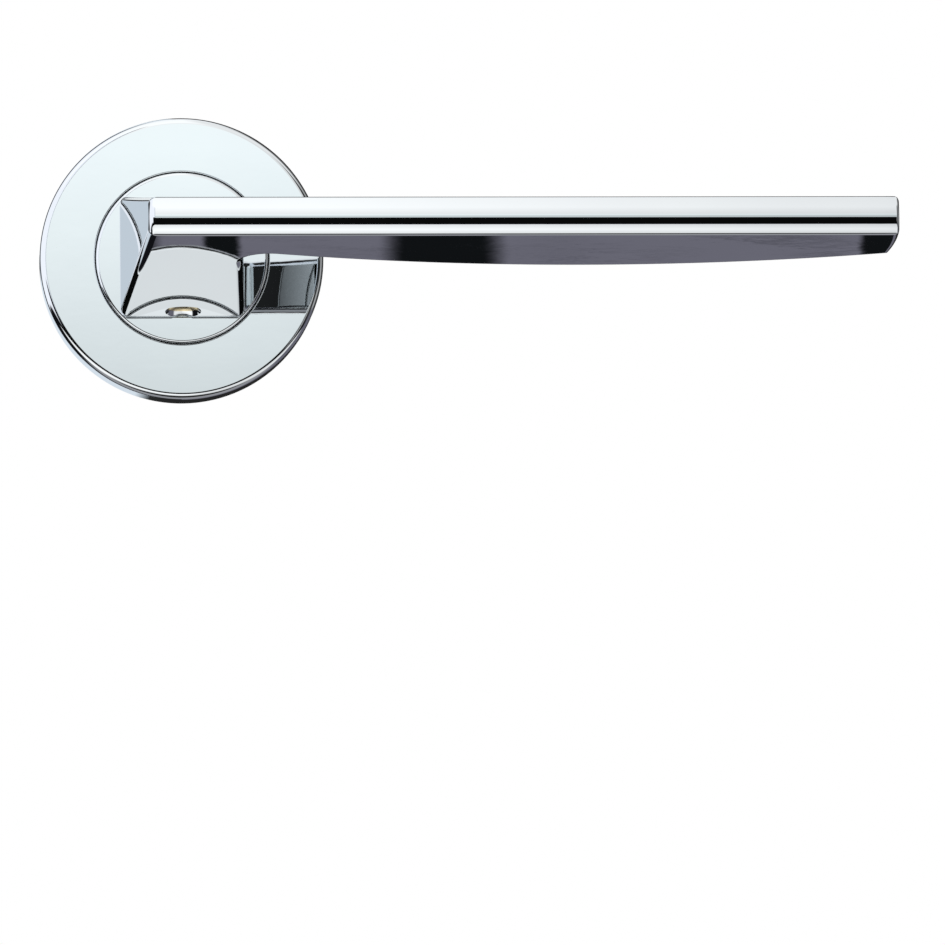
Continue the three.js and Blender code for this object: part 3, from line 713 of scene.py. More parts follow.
def lever_outline(nose, insets):
    """The outline seen from above. Each point comes with its place between two sides."""
    sides = {name: moved_in(side, insets[name]) for name, side in lever_sides(nose).items()}
    fillets = []
    for first, second, radius, near, steps, hollow in LEVER_CORNERS:
        inset = (insets[first] + insets[second]) / 2
        reach = radius + inset if hollow else -max(0.05, radius - inset)
        grown = [(sides[s][0], sides[s][1], sides[s][2] + reach) for s in (first, second)]
        centre = cross(*grown, near)
        fillets.append((first, second, centre, touch(sides[first], centre),
                        touch(sides[second], centre), steps))
    points = []
    for index, (first, second, centre, start, stop, steps) in enumerate(fillets):
        turn = (start - centre).angle_signed(stop - centre)
        for step in range(steps):
            part = step / steps
            spoke = Matrix.Rotation(-turn * part, 2) @ (start - centre)
            points.append((centre + spoke, first, second, part))
        leave = fillets[(index + 1) % len(fillets)][3]
        count = SIDE_STEPS[second]
        kind, base, size = sides[second]
        for step in range(count):
            point = stop.lerp(leave, step / count)
            if kind == "arc":
                point = base + (point - base).normalized() * size
            points.append((point, second, second, 0.0))
    return points


def lever_rings(sizes):
    """Rings of points from the lever's middle height to the rim of its top face."""
    soft, nose, end = (size / MM for size in (sizes.edge_soft, sizes.edge_nose, sizes.edge_end))
    radii = {"rear": nose, "left": soft, "front": nose, "end": end, "grip": soft, "right": soft}
    slope = math.atan(2 * NOSE_SAG / NOSE_HALF * 0.93)
    starts = {name: slope if name == "front" else 0.0 for name in radii}
    nose_top = NOSE_HALF - nose * (1 - math.sin(slope))
    sag_at = lambda z: NOSE_EDGE + NOSE_SAG * (1 - (z / NOSE_HALF) ** 2)

    def ring(front, insets, angle_part, level):
        points = []
        for point, first, second, part in lever_outline(front, insets):
            part = part * part * (3 - 2 * part)
            blend = lambda table: table[first] + (table[second] - table[first]) * part
            radius, start = blend(radii), blend(starts)
            angle = start + (math.pi / 2 - start) * angle_part
            top = half_height(point.y) - radius * (1 - math.sin(angle))
            points.append(Vector((point.x, -point.y, top * level)) * MM)
        return points

    none = dict.fromkeys(radii, 0.0)
    rings = []
    for step in range(WALL_LEVELS + 1):
        level = step / WALL_LEVELS
        rings.append(ring(sag_at(nose_top * level), none, 0.0, level))
    for step in range(1, EDGE_LEVELS + 1):
        part = step / EDGE_LEVELS
        insets = {}
        for name, radius in radii.items():
            angle = starts[name] + (math.pi / 2 - starts[name]) * part
            insets[name] = radius * (math.cos(starts[name]) - math.cos(angle))
        rings.append(ring(sag_at(nose_top), insets, part, 1.0))
    return rings


def lever_body(sizes):
    """The wedge shaped body: its upper half is built in rings, capped and mirrored."""
    rings = lever_rings(sizes)
    body = draw_loop("lever_forging", rings[0])
    flat = 20 * MM
    with editing(body) as mesh:
        bpy.ops.mesh.select_all(action="SELECT")
        for old, new in zip(rings, rings[1:]):
            carry_loop(mesh, old, new)
        bpy.ops.mesh.edge_face_add()
        shape = bmesh.from_edit_mesh(mesh)
        for vertex in shape.verts:
            if vertex.select:
                vertex.co.z = flat
        bmesh.update_edit_mesh(mesh)
        on_cap = lambda face: all(abs(v.co.z - flat) < 1e-6 for v in face.verts)
        for line in range(int(NECK_REAR) + 2, int(NOSE_EDGE)):
            pick(mesh, "FACE", on_cap)
            bpy.ops.mesh.bisect(plane_co=(0, -line * MM, 0), plane_no=(0, 1, 0))
        pick(mesh, "FACE", on_cap)
        shape = bmesh.from_edit_mesh(mesh)
        for vertex in shape.verts:
            if abs(vertex.co.z - flat) < 1e-6:
                vertex.co.z = half_height(-vertex.co.y / MM) * MM
        bmesh.update_edit_mesh(mesh)
    apply_modifier(body, "MIRROR", use_axis=(False, False, True), use_clip=True,
                   merge_threshold=1e-6)
    tidy_skin(body, 1e-8)
    return body


def lever_hub(steps):
    """The flange that fills the rose's hole, the collar, and the shank behind them."""
    return turned("hub", [
        (0, SHANK_REAR, 0), (SHANK_RADIUS, SHANK_REAR, 0.4), (SHANK_RADIUS, GROOVE_REAR, 0.05),
        (GROOVE_RADIUS, GROOVE_REAR, 0.1), (GROOVE_RADIUS, GROOVE_FRONT, 0.1),
        (SHANK_RADIUS, GROOVE_FRONT, 0.05), (SHANK_RADIUS, FLANGE_REAR, 0.2),
        (FLANGE_RADIUS, FLANGE_REAR, 0.2), (FLANGE_RADIUS, FLANGE_FRONT, 0.6),
        (COLLAR_RADIUS, FLANGE_FRONT, 0.25), (COLLAR_RADIUS, COLLAR_FRONT, 0),
        (0, COLLAR_FRONT, 0)], steps)


ARCH_HALF = 9.5
ARCH_LENGTH = 7.0
ARCH_STEP = 0.45
ARCH_FULLNESS = 0.7
ARCH_STEPS = 48
ARCH_PAST = 14.0


def arch_tool():
    """What the small arched flat under the neck is cut with."""
    neck = half_height(NECK_REAR)
    apex = half_height(NECK_REAR + ARCH_LENGTH) - ARCH_STEP
    slope = (neck - apex) / ARCH_LENGTH
    outline = []
    for step in range(ARCH_STEPS + 1):
        x = -ARCH_HALF + 2 * ARCH_HALF * step / ARCH_STEPS
        rise = (0.5 + 0.5 * math.cos(math.pi * x / ARCH_HALF)) ** ARCH_FULLNESS
        outline.append((x, NECK_REAR + ARCH_LENGTH * rise))
    outline += [(ARCH_HALF, NECK_REAR - 0.9), (-ARCH_HALF, NECK_REAR - 0.9)]
    level = lambda depth: -neck + slope * (depth - NECK_REAR)
    upper = [Vector((x, -depth, level(depth))) * MM for x, depth in outline]
    lower = [Vector((point.x, point.y, -ARCH_PAST * MM)) for point in upper]
    return loft("arch_tool", [upper, lower])


def thread_section(crest, root, start, stop, pitch, lead=0.0):
    """Corners of a threaded rod's section, from its first end to its last."""
    corners = [(0, start, 0)]
    turns = int((stop - start - 2 * lead) / pitch)
    corners.append((root, start, 0) if lead else (crest, start, 0))
    for turn in range(turns):
        base = start + lead + turn * pitch
        corners += [(root, base, 0), (crest, base + 0.4 * pitch, 0), (crest, base + 0.6 * pitch, 0)]
    corners += [(root, start + lead + turns * pitch, 0), (root, stop, 0), (0, stop, 0)]
    return corners


def stand_up(piece, x, depth):
    """Turns a piece drawn along the door axis to stand along Z at a place under the neck."""
    place(piece, lambda co: Vector((co.x + x * MM, -co.z - depth * MM, co.y)))


# ---- Operators: one for each piece or group of like pieces ----------------------------------


class HandleStep(bpy.types.Operator):
    """A step in building the handle."""

    bl_options = {"REGISTER", "UNDO"}


class HANDLE_OT_lever(HandleStep):
    """Build the lever: forged body, hub, arched flat, tapped hole and spindle socket"""

    bl_idname = "handle.lever"
    bl_label = "Lever"

    def execute(self, context):
        sizes = context.scene.handle_sizes
        body = lever_body(sizes)
        combine(body, lever_hub(sizes.turn_steps), "UNION")
        combine(body, arch_tool())
        mouth = turned("hole_tool", [
            *thread_section(THREAD_OUTER, THREAD_INNER, HOLE_TOP, THREAD_END, THREAD_PITCH)[:-2],
            (PLAIN_RADIUS, THREAD_END + 0.1, 0), (PLAIN_RADIUS, HOLE_MOUTH - 1.25, 0),
            (MOUTH_RADIUS, HOLE_MOUTH, 0), (MOUTH_RADIUS, HOLE_MOUTH + 3, 0),
            (0, HOLE_MOUTH + 3, 0)], 96)
        stand_up(mouth, 0, HOLE_DEPTH)
        combine(body, mouth)
        combine(body, block("socket_tool", (-SOCKET_HALF, -SOCKET_FRONT, -SOCKET_HALF),
                            (SOCKET_HALF, 3 * PAST, SOCKET_HALF), 0.3))
        for side in (-1, 1):
            near, far = sorted((side * SHANK_FLAT, side * (SHANK_RADIUS + 2 * PAST)))
            combine(body, block("flat_tool", (near, -FLAT_FRONT, -SHANK_RADIUS - 2 * PAST),
                                (far, 3 * PAST, SHANK_RADIUS + 2 * PAST)))
        body.name = body.data.name = "lever_body"
        finish_piece(body, "lever", "polished_chrome", "lever", finish="lever", angle=LEVER_ANGLE)
        return {"FINISHED"}


class HANDLE_OT_rose_cover(HandleStep):
    """Build the pressed rose cover"""

    bl_idname = "handle.rose_cover"
    bl_label = "Rose cover"

    def execute(self, context):
        sizes = context.scene.handle_sizes
        outer, front = COVER_HIGH.x, -COVER_LOW.y
        wall, edge = sizes.cover_wall / MM, sizes.cover_edge / MM
        inner = outer - wall
        cover = turned("rose_shell", [
            (inner, 0, 0.15), (outer, 0, 0.25), (outer, front, edge), (COVER_HOLE, front, 0.25),
            (COVER_HOLE, front - wall, 0.1), (inner, front - wall, 0.7)],
            sizes.turn_steps + RIM_EXTRA_STEPS, step_degrees=6)
        finish_piece(cover, "cover", "polished_chrome", "rose_cover", angle=COVER_ANGLE)
        return {"FINISHED"}


def pin_tool(x, z, radius, rear, front, mouth=0.0):
    """A drill along the door axis whose mouth opens a little at the rear."""
    return turned("pin_tool", [(0, rear - 0.5, 0), (radius + mouth, rear - 0.5, 0),
                               (radius + mouth, rear, 0), (radius, rear + mouth, 0),
                               (radius, front, 0), (0, front, 0)], 64, (x, z))


def copy_of(piece, name, shift):
    """A copy with its own mesh, moved aside by millimetres."""
    twin = bpy.data.objects.new(name, piece.data.copy())
    twin.data.name = name
    bpy.context.scene.collection.objects.link(twin)
    place(twin, lambda co: co + Vector(shift) * MM)
    return twin


def inner_turned(name, corners):
    """A turned piece behind the cover, with coarser edges."""
    return turned(name, corners, bpy.context.scene.handle_sizes.turn_steps, step_degrees=15)


class HANDLE_OT_base_plate(HandleStep):
    """Build the die cast base plate with its chamber, recess, lugs and holes"""

    bl_idname = "handle.base_plate"
    bl_label = "Base plate"

    def execute(self, context):
        plate = inner_turned("base_plate_casting", [
            (PLATE_BORE, CHAMBER_FRONT, 0.15), (CHAMBER_RADIUS, CHAMBER_FRONT, 0.35),
            (CHAMBER_RADIUS, SEAT_FRONT, 0.1), (SEAT_RADIUS, SEAT_FRONT, 0.1),
            (SEAT_RADIUS, 0, 0.15), (PLATE_RADIUS, 0, 0.3), (PLATE_RADIUS, PLATE_FRONT, 0.5),
            (RECESS_RADIUS, PLATE_FRONT, 0.25), (RECESS_RADIUS, RECESS_REAR, 0.2),
            (PLATE_BORE, RECESS_REAR, 0.15)])
        for angle in LUG_ANGLES:
            combine(plate, block("lug", (LUG_INNER, -CHAMBER_FRONT - 0.2, -LUG_HALF),
                                 (CHAMBER_RADIUS + 0.2, -LUG_REAR, LUG_HALF), 0.15, angle), "UNION")
        seat = EAR_RADIUS + EAR_GAP
        for angle in SCREW_ANGLES:
            x, z = polar(SCREW_REACH, angle)
            combine(plate, block("ear_tool", (CHAMBER_RADIUS - 0.4, -SEAT_FRONT, -seat),
                                 (SCREW_REACH, PAST, seat), 0, angle))
            combine(plate, rod("ear_tool", x, z, seat, -PAST, SEAT_FRONT))
            combine(plate, pin_tool(x, z, SCREW_BODY + 0.05, SEAT_FRONT, SCREW_END + PAST, 0.2))
        for z in (-FIXING_REACH, FIXING_REACH):
            combine(plate, pin_tool(0, z, FIXING_RADIUS, 0, PLATE_FRONT + 1.5 * PAST, 0.25))
            combine(plate, rod("counterbore", 0, z, BOLT_HEAD_RADIUS, BOLT_HEAD_REAR,
                               PLATE_FRONT + 1.5 * PAST))
        combine(plate, block("slot_tool", (SLOT_INNER, -SLOT_FRONT, -SLOT_HALF),
                             (ANCHOR_REACH + GAP, PAST, SLOT_HALF), 0, ANCHOR_ANGLE))
        finish_piece(plate, "rose", "cast_zinc", "base_plate")
        return {"FINISHED"}


class HANDLE_OT_bearing_bush(HandleStep):
    """Build the plastic bush that the lever turns in"""

    bl_idname = "handle.bearing_bush"
    bl_label = "Bearing bush"

    def execute(self, context):
        bush = inner_turned("bush_moulding", [
            (SHANK_BORE, BUSH_REAR, 0.12), (BUSH_SLEEVE, BUSH_REAR, 0.15),
            (BUSH_SLEEVE, BUSH_STEP, 0.05), (BUSH_FLANGE, BUSH_STEP, 0.12),
            (BUSH_FLANGE, BUSH_FRONT, 0.15), (SHANK_BORE, BUSH_FRONT, 0.15)])
        finish_piece(bush, "rose", "acetal", "bearing_bush")
        return {"FINISHED"}


class HANDLE_OT_spring_cover(HandleStep):
    """Build the pressed cover that closes the spring's chamber"""

    bl_idname = "handle.spring_cover"
    bl_label = "Spring cover"

    def execute(self, context):
        cover = inner_turned("cover_pressing", [
            (LID_BORE, LID_REAR, 0.1), (LID_RADIUS, LID_REAR, 0.1), (LID_RADIUS, LID_FRONT, 0.15),
            (LID_BORE, LID_FRONT, 0.1)])
        head, body = SCREW_HEAD + GAP, SCREW_BODY + GAP
        for angle in SCREW_ANGLES:
            x, z = polar(SCREW_REACH, angle)
            combine(cover, block("ear", (LID_RADIUS - 0.6, -LID_FRONT, -EAR_RADIUS),
                                 (SCREW_REACH, -LID_REAR, EAR_RADIUS), 0, angle), "UNION")
            combine(cover, rod("ear", x, z, EAR_RADIUS, LID_REAR, LID_FRONT), "UNION")
            combine(cover, turned("countersink", [
                (0, -0.5, 0), (head, -0.5, 0), (head, 0.12, 0), (body, 0.62, 0), (body, 1.2, 0),
                (0, 1.2, 0)], 64, (x, z)))
        finish_piece(cover, "rose", "zinc_plated_steel", "spring_cover")
        return {"FINISHED"}


class HANDLE_OT_cover_screws(HandleStep):
    """Build the three countersunk screws of the spring cover"""

    bl_idname = "handle.cover_screws"
    bl_label = "Cover screws"

    def execute(self, context):
        corners = [(0, LID_REAR, 0), (SCREW_HEAD, LID_REAR, 0.08), (SCREW_BODY, SCREW_NECK, 0.05)]
        for turn in range(5):
            base = SCREW_NECK + 0.12 + SCREW_PITCH * turn
            corners += [(SCREW_CORE, base, 0), (SCREW_BODY, base + 0.17, 0),
                        (SCREW_BODY, base + 0.24, 0)]
        tip = SCREW_END + 0.4
        corners += [(SCREW_CORE, SCREW_END, 0), (SCREW_TIP, tip, 0.1), (0, tip, 0)]
        screw = turned("screw_1", corners, 64)
        for wide, high in ((CROSS_LONG, CROSS_THIN), (CROSS_THIN, CROSS_LONG)):
            combine(screw, block("cross_tool", (-wide, -0.6, -high), (wide, PAST, high)))
        places = [polar(SCREW_REACH, angle) for angle in SCREW_ANGLES]
        screws = [copy_of(screw, f"screw_{i + 1}", (x, 0, z)) for i, (x, z) in enumerate(places)]
        bpy.data.objects.remove(screw)
        for number, piece in enumerate(screws, 1):
            finish_piece(piece, "rose", "zinc_plated_steel", f"cover_screw_{number}")
        return {"FINISHED"}


class HANDLE_OT_set_screw(HandleStep):
    """Build the set screw in the neck's tapped hole"""

    bl_idname = "handle.set_screw"
    bl_label = "Set screw"

    def execute(self, context):
        screw = turned("grub_screw", thread_section(
            GRUB_OUTER, GRUB_INNER, GRUB_TOP, GRUB_END, THREAD_PITCH, 0.3), 96)
        hexagon = [polar(KEY_ACROSS / math.sqrt(3), 60 * corner) for corner in range(6)]
        combine(screw, loft("key_tool", [
            [Vector((x, -depth, z)) * MM for x, z in hexagon]
            for depth in (GRUB_END - KEY_LENGTH, GRUB_END + PAST)]))
        stand_up(screw, 0, HOLE_DEPTH)
        finish_piece(screw, "lever", "screw_steel", "set_screw")
        return {"FINISHED"}


class HANDLE_OT_spring_driver(HandleStep):
    """Build the driver plate that carries the spring round with the lever"""

    bl_idname = "handle.spring_driver"
    bl_label = "Spring driver"

    def execute(self, context):
        driver = rod("driver_plate", 0, 0, DRIVER_RADIUS, DRIVER_REAR, DRIVER_FRONT, RING_STEPS, 0.12)
        for inner, rear in ((ARM_INNER, DRIVER_REAR), (ARM_OUTER - PAST, TAB_REAR)):
            combine(driver, block("arm", (-ARM_HALF, -DRIVER_FRONT, inner),
                                  (ARM_HALF, -rear, ARM_OUTER), 0.1), "UNION")
        bore = rod("bore_tool", 0, 0, SHANK_BORE, 3, 5, RING_STEPS)
        flat = SHANK_FLAT + GAP
        combine(bore, block("flat_tool", (-flat, -6, -9), (flat, -2, 9)), "INTERSECT")
        combine(driver, bore)
        finish_piece(driver, "lever", "zinc_plated_steel", "spring_driver")
        return {"FINISHED"}


def flat_ring(name, inner, outer, rear, front, edge, steps=RING_STEPS):
    """A flat ring on the shank."""
    return turned(name, [(inner, rear, edge), (outer, rear, edge), (outer, front, edge),
                         (inner, front, edge)], steps, step_degrees=30)


class HANDLE_OT_shank_rings(HandleStep):
    """Build the wave washer, the back washer and the retaining ring on the shank"""

    bl_idname = "handle.shank_rings"
    bl_label = "Washers and retaining ring"

    def execute(self, context):
        wave = flat_ring("wave_spring", SHANK_BORE, RING_RADIUS, WAVE_REAR, WAVE_REAR + WAVE_THICK,
                         0.08, 180)
        lift = lambda co: WAVE_LIFT * (1 + math.cos(WAVES * math.atan2(co.z, co.x))) * MM
        place(wave, lambda co: co - Vector((0, lift(co), 0)))
        washer = flat_ring("thrust_washer", SHANK_BORE, RING_RADIUS, WASHER_REAR, WASHER_FRONT, 0.1)
        clip = flat_ring("circlip", CLIP_INNER, CLIP_OUTER, CLIP_REAR, CLIP_FRONT, 0.08)
        corners = [*(polar(2 * RING_RADIUS, angle) for angle in CLIP_GAP_ANGLES), (0, 0)]
        combine(clip, loft("gap_tool", [
            [Vector((x, -depth, z)) * MM for x, z in corners] for depth in (0, 3)]))
        for angle in CLIP_EAR_ANGLES:
            x, z = polar(CLIP_EAR_REACH, angle)
            combine(clip, rod("ear", x, z, CLIP_EAR_RADIUS, CLIP_REAR, CLIP_FRONT, 48, 0.08), "UNION")
            combine(clip, rod("ear_hole", x, z, CLIP_EAR_HOLE, 0, 3, 32))
        finish_piece(wave, "lever", "spring_steel", "wave_washer")
        finish_piece(washer, "lever", "zinc_plated_steel", "back_washer")
        finish_piece(clip, "lever", "spring_steel", "retaining_ring")
        return {"FINISHED"}


def spring_path():
    """The return spring's centre line: a leg, a bend, the coil, a bend and the driven leg."""
    reach = COIL_RADIUS + BEND_RADIUS
    lean = math.degrees(math.asin(BEND_RADIUS / reach))

    def bend(angle, side):
        x, z = polar(reach, angle + side * lean)
        start = angle - side * 90
        turn = (angle + side * lean + 180 - start + 540) % 360 - 180
        spokes = [polar(BEND_RADIUS, start + turn * step / BEND_STEPS)
                  for step in range(BEND_STEPS + 1)]
        return [(x + a, z + b) for a, b in spokes]

    sweep = 360 * COIL_TURNS - 2 * lean
    path = [(*polar(ANCHOR_REACH, ANCHOR_ANGLE), 0.0)]
    path += [(*point, 0.0) for point in bend(ANCHOR_ANGLE, -1)]
    for step in range(1, COIL_STEPS):
        part = step / COIL_STEPS
        path.append((*polar(COIL_RADIUS, ANCHOR_ANGLE - lean - sweep * part), part))
    path += [(*point, 1.0) for point in reversed(bend(LEG_ANGLE, 1))]
    path.append((*polar(LEG_REACH, LEG_ANGLE), 1.0))
    return [Vector((x, -(COIL_REAR + COIL_RISE * part), z)) * MM for x, z, part in path]


class HANDLE_OT_return_spring(HandleStep):
    """Build the flat wire return spring, from its anchored leg round the coil to its driven leg"""

    bl_idname = "handle.return_spring"
    bl_label = "Return spring"

    def execute(self, context):
        path = spring_path()
        wide, thick = WIRE_HALF_WIDE, WIRE_HALF_THICK
        section = rounded([(-wide, -thick, WIRE_EDGE), (wide, -thick, WIRE_EDGE),
                           (wide, thick, WIRE_EDGE), (-wide, thick, WIRE_EDGE)], 30)
        rings = []
        for index, point in enumerate(path):
            ahead = path[min(index + 1, len(path) - 1)] - path[max(index - 1, 0)]
            across = Vector((ahead.z, 0, -ahead.x)).normalized()
            rings.append([point + (across * p.x + DOOR_AXIS * p.y) * MM for p in section])
        spring = loft("spring_wire", rings)
        finish_piece(spring, None, "spring_steel", "return_spring")
        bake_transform(spring)
        return {"FINISHED"}


# ---- Studio --------------------------------------------------------------------------------

CAMERA_PLACE = Vector((-0.0367, -1.1554, -0.1488))
CAMERA_YAW, CAMERA_PITCH, CAMERA_ROLL = 0.07794, 0.0945, -0.0118
CAMERA_LENS = 240.4
FLOOR_LEVEL = -0.11


def studio_camera():
    """A long lens in front of the handle, a little below it and to its left."""
    forward = Vector((math.sin(CAMERA_YAW) * math.cos(CAMERA_PITCH),
                      math.cos(CAMERA_YAW) * math.cos(CAMERA_PITCH), math.sin(CAMERA_PITCH)))
    right = Vector((math.cos(CAMERA_YAW), -math.sin(CAMERA_YAW), 0))
    up = right.cross(forward)
    c, s = math.cos(CAMERA_ROLL), math.sin(CAMERA_ROLL)
    right, up = c * right + s * up, c * up - s * right
    data = bpy.data.cameras.new("studio_camera")
    data.lens, data.sensor_width = CAMERA_LENS, 36.0
    data.clip_start, data.clip_end = 0.05, 20.0
    camera = bpy.data.objects.new("studio_camera", data)
    camera.matrix_world = Matrix.Translation(CAMERA_PLACE) @ Matrix(
        (right, up, -forward)).transposed().to_4x4()
    bpy.context.scene.collection.objects.link(camera)
    bpy.context.scene.camera = camera


def by_height(nodes, rise, stops):
    """Light by height above the horizon: stops are (degrees, brightness or colour)."""
    stops = [((degrees + 90) / 180, colour) for degrees, colour in stops]
    return nodes.node("ShaderNodeValToRGB", {"stops": stops}, {"Fac": rise})


def by_compass(nodes, around, stops):
    """Light by direction: stops are (degrees to the right of the front, brightness or colour)."""
    stops = [((degrees + 180) / 360, colour) for degrees, colour in stops]
    return nodes.node("ShaderNodeValToRGB", {"stops": stops}, {"Fac": around})


def band(nodes, value, low, high, soft):
    """1 between two limits and 0 outside them, with soft edges."""
    return nodes.step(value, low - soft, low) * (1 - nodes.step(value, high, high + soft))


def dark_card(nodes, x, z, centre, half):
    """A dark card low behind the handle, with a soft edge."""
    across, up = (x - centre[0]) / half[0], (z - centre[1]) / half[1]
    return 1 - nodes.step(across * across + up * up, 0.45, 1.3)


LILAC = (1.12, 1.14, 1.22)
PALE_BLUE = (0.72, 0.8, 0.88)
NEAR_BLUE = (0.74, 0.81, 0.89)
DUSK = (0.165, 0.16, 0.2)
BLACK = (0.004, 0.004, 0.004)
COAL = (0.006, 0.007, 0.008)


# The dark cards low in front: where their centres are, then half their sizes.
CARDS = [((0.038, -0.392), (0.003, 0.03)), ((0.073, -0.394), (0.0095, 0.02)),
         ((0.1415, -0.392), (0.003, 0.04))]


def low_light(n, where, x, z):
    """The dusk near the floor, with streaks and dark cards in it."""
    low = n.mix(n.step(x, 0.026, 0.029), (0.006, 0.006, 0.008), DUSK)
    streak = n.noise(n.node("ShaderNodeMapping", {"vector_type": "POINT"},
                            {"Vector": where, "Scale": (5, 1, 250)}), 5, 3.0)
    low = n.mix(n.step(streak, 0.5, 0.75) * 0.55, low, (0.02, 0.02, 0.025))
    for centre, half in CARDS:
        low = n.mix(dark_card(n, x, z, centre, half), low, COAL)
    return low


def front_light(n, x, rise, degrees_up, low):
    """What the room looks like straight in front of the handle, from the floor up."""
    below = by_height(n, rise, [(-90, 0.02), (-58, 0.02), (-48, 1.0), (-36, 1.3), (-23, 1.05)])
    above = by_height(n, rise, [(5.7, (0.77, 0.82, 0.83)), (8.3, (1.12, 1.19, 1.2)), (13, 1.08),
                                (34, 1.28), (90, 1.2)])
    front = n.mix(n.step(degrees_up, -21.7, -21.5), below, low)
    front = n.mix(n.step(degrees_up, -21.0, -20.5), front, BLACK)
    front = n.mix(n.step(degrees_up, 0.2, 1.0), front, above)
    return n.mix(n.step(x, 0.03, 0.16) * 0.2, front, (0, 0, 0))


def side_light(n, around, degrees_up, degrees_right, low):
    """What the room looks like to the sides and behind: floor, horizon and ceiling."""
    horizon = by_compass(n, around, [
        (-180, 0.02), (-178.6, 0.02), (-177.4, PALE_BLUE), (-160, PALE_BLUE), (-152, 0.02),
        (-122, 0.02), (-113, LILAC), (-6, LILAC), (-4, 1.0), (24, 1.0), (34, 0.04), (60, 0.06),
        (72, 0.5), (84, 0.5), (96, 0.1), (130, 0.05), (148, 0.02), (180, 0.02)])
    horizon = n.mix(band(n, degrees_right, -12.6, -7.4, 0.4), horizon, NEAR_BLUE)
    horizon = n.mix(band(n, degrees_right, -6.8, -5.2, 0.3), horizon, BLACK)
    lower_left = band(n, degrees_right, -36, -6, 3) * (1 - n.step(degrees_up, 1, 3))
    horizon = n.mix(lower_left, horizon, BLACK)
    ground = n.mix(n.step(degrees_up, -50, -38), (0.34, 0.34, 0.36), low)
    others = n.mix(n.step(degrees_up, -15, -12), ground, horizon)
    return n.mix(n.step(degrees_up, 58, 80), others, (1.15, 1.16, 1.18))


def studio_world():
    """A white room with dark cards: what polished metal mirrors, and a plain pale backdrop."""
    world = bpy.data.worlds.new("studio")
    bpy.context.scene.world = world
    world.use_nodes = True
    n = Nodes(world.node_tree)
    where = n.node("ShaderNodeTexCoord", out="Generated")
    where = n.node("ShaderNodeVectorMath", {"operation": "NORMALIZE"}, {0: where})
    x, y, z = n.split(where)
    rise = n.math("ARCSINE", z) / math.pi + 0.5
    around = n.math("ARCTAN2", x, 0 - y) / math.tau + 0.5
    degrees_up, degrees_right = rise * 180 - 90, around * 360 - 180
    low = low_light(n, where, x, z)
    front = front_light(n, x, rise, degrees_up, low)
    others = side_light(n, around, degrees_up, degrees_right, low)
    level = band(n, degrees_up, -9, 30, 8)
    narrow, wide = band(n, degrees_right, -4.5, 24, 1), band(n, degrees_right, -62, 62, 12)
    room = n.mix(narrow * level + wide * (1 - level), others, front)
    rays = n.tree.nodes.new("ShaderNodeLightPath")
    mirrored = Value(n, rays.outputs["Is Glossy Ray"])
    seen = Value(n, rays.outputs["Is Camera Ray"])
    plain = n.mix(n.step(z, -0.4, 0.6), (0.8, 0.8, 0.8), (1, 1, 1))
    colour = n.mix(seen, n.mix(mirrored, plain, room), (1, 1, 1))
    light = n.node("ShaderNodeBackground", None, {"Color": colour, "Strength": 1.0})
    n.node("ShaderNodeOutputWorld", None, {"Surface": light})


def studio_floor():
    """A pale sheet under the handle, seen from above only and left out of reflections."""
    deselect_all()
    bpy.ops.mesh.primitive_plane_add(size=6, location=(0, 0, FLOOR_LEVEL))
    floor = bpy.context.object
    floor.name = floor.data.name = "studio_floor"
    bpy.ops.object.transform_apply(location=True)
    material, n = new_material("pale_paper")
    grain = n.noise(n.place_on(), 260, 3.0)
    tint = n.mix(grain, (0.9, 0.9, 0.9), (0.93, 0.93, 0.93))
    paper = n.node("ShaderNodeBsdfPrincipled", None, {"Base Color": tint, "Roughness": 0.9})
    clear = n.node("ShaderNodeBsdfTransparent")
    under = n.node("ShaderNodeNewGeometry", out="Backfacing")
    mixed = n.node("ShaderNodeMixShader", None, {0: under, 1: paper, 2: clear})
    n.node("ShaderNodeOutputMaterial", None, {"Surface": mixed})
    floor.data.materials.append(material)
    floor.visible_glossy = False


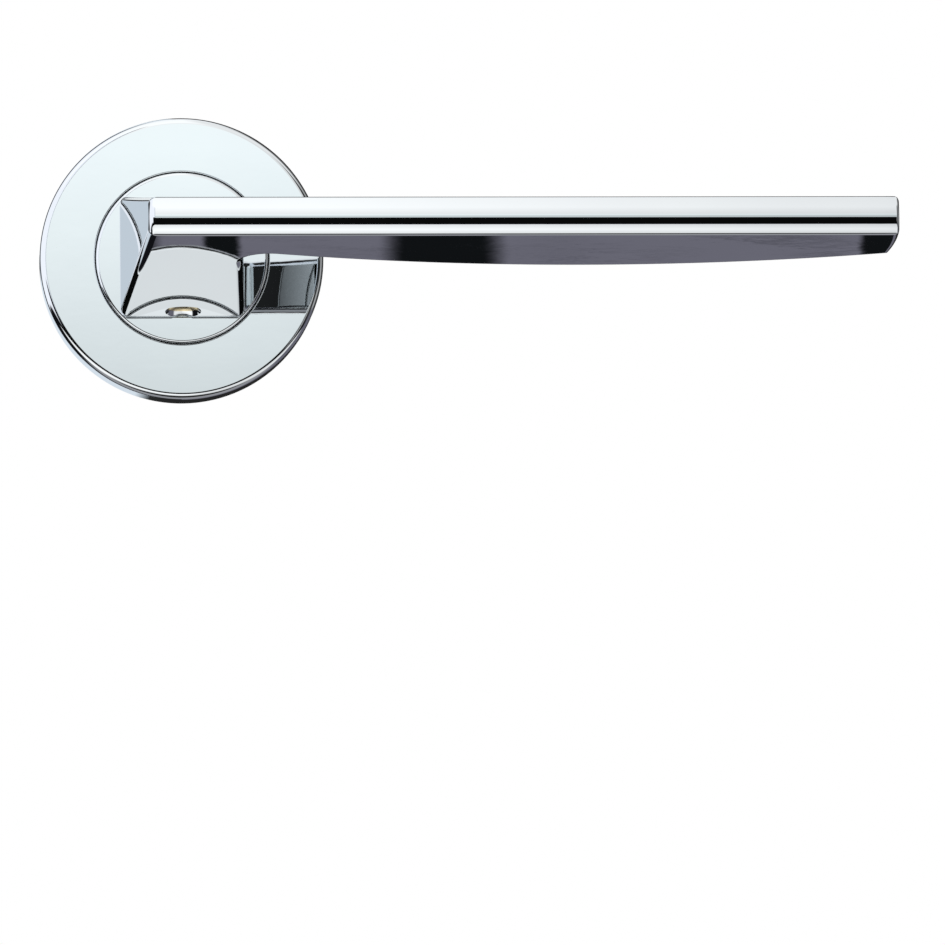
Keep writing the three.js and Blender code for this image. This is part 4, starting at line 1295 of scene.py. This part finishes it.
def soft_light(name, place_at, size, power):
    """A large soft box, aimed at the handle and kept out of reflections."""
    data = bpy.data.lights.new(name, "AREA")
    data.energy, data.size, data.shape = power, size, "DISK"
    light = bpy.data.objects.new(name, data)
    light.location = place_at
    light.rotation_mode = "QUATERNION"
    light.rotation_quaternion = (-Vector(place_at)).to_track_quat("-Z", "Y")
    light.visible_glossy = False
    bpy.context.scene.collection.objects.link(light)


class HANDLE_OT_stage(HandleStep):
    """Set the camera, the pale floor and the soft studio light"""

    bl_idname = "handle.stage"
    bl_label = "Stage"

    def execute(self, context):
        studio_camera()
        studio_world()
        studio_floor()
        soft_light("key_light", (-0.6, -0.7, 1.1), 0.7, 6)
        scene = context.scene
        scene.view_settings.view_transform = "Standard"
        scene.view_settings.look = "None"
        return {"FINISHED"}


# ---- Panel and registration ----------------------------------------------------------------


class HANDLE_PT_panel(bpy.types.Panel):
    """The handle's sizes, finishes and steps in the sidebar"""

    bl_idname = "HANDLE_PT_panel"
    bl_label = "Door lever handle"
    bl_space_type = "VIEW_3D"
    bl_region_type = "UI"
    bl_category = "Handle"

    def draw(self, context):
        column = self.layout.column()
        for group in (context.scene.handle_sizes, context.scene.handle_finishes):
            for name in type(group).__annotations__:
                column.prop(group, name)
        for step in STEPS:
            column.operator(step.bl_idname)


STEPS = (HANDLE_OT_lever, HANDLE_OT_rose_cover, HANDLE_OT_base_plate, HANDLE_OT_bearing_bush,
         HANDLE_OT_return_spring, HANDLE_OT_spring_cover, HANDLE_OT_cover_screws,
         HANDLE_OT_spring_driver, HANDLE_OT_shank_rings, HANDLE_OT_set_screw, HANDLE_OT_stage)
CLASSES = (HandleSizes, HandleFinishes, *STEPS, HANDLE_PT_panel)


def register():
    """Adds the handle's properties, operators and panel."""
    for made in CLASSES:
        bpy.utils.register_class(made)
    bpy.types.Scene.handle_sizes = PointerProperty(type=HandleSizes)
    bpy.types.Scene.handle_finishes = PointerProperty(type=HandleFinishes)


def unregister():
    """Takes them away again."""
    del bpy.types.Scene.handle_finishes
    del bpy.types.Scene.handle_sizes
    for made in reversed(CLASSES):
        bpy.utils.unregister_class(made)


def main():
    """Builds the whole handle."""
    register()
    make_finishes(bpy.context.scene.handle_finishes)
    for step in STEPS:
        group, name = step.bl_idname.split(".")
        getattr(getattr(bpy.ops, group), name)()


if __name__ == "__main__":
    main()
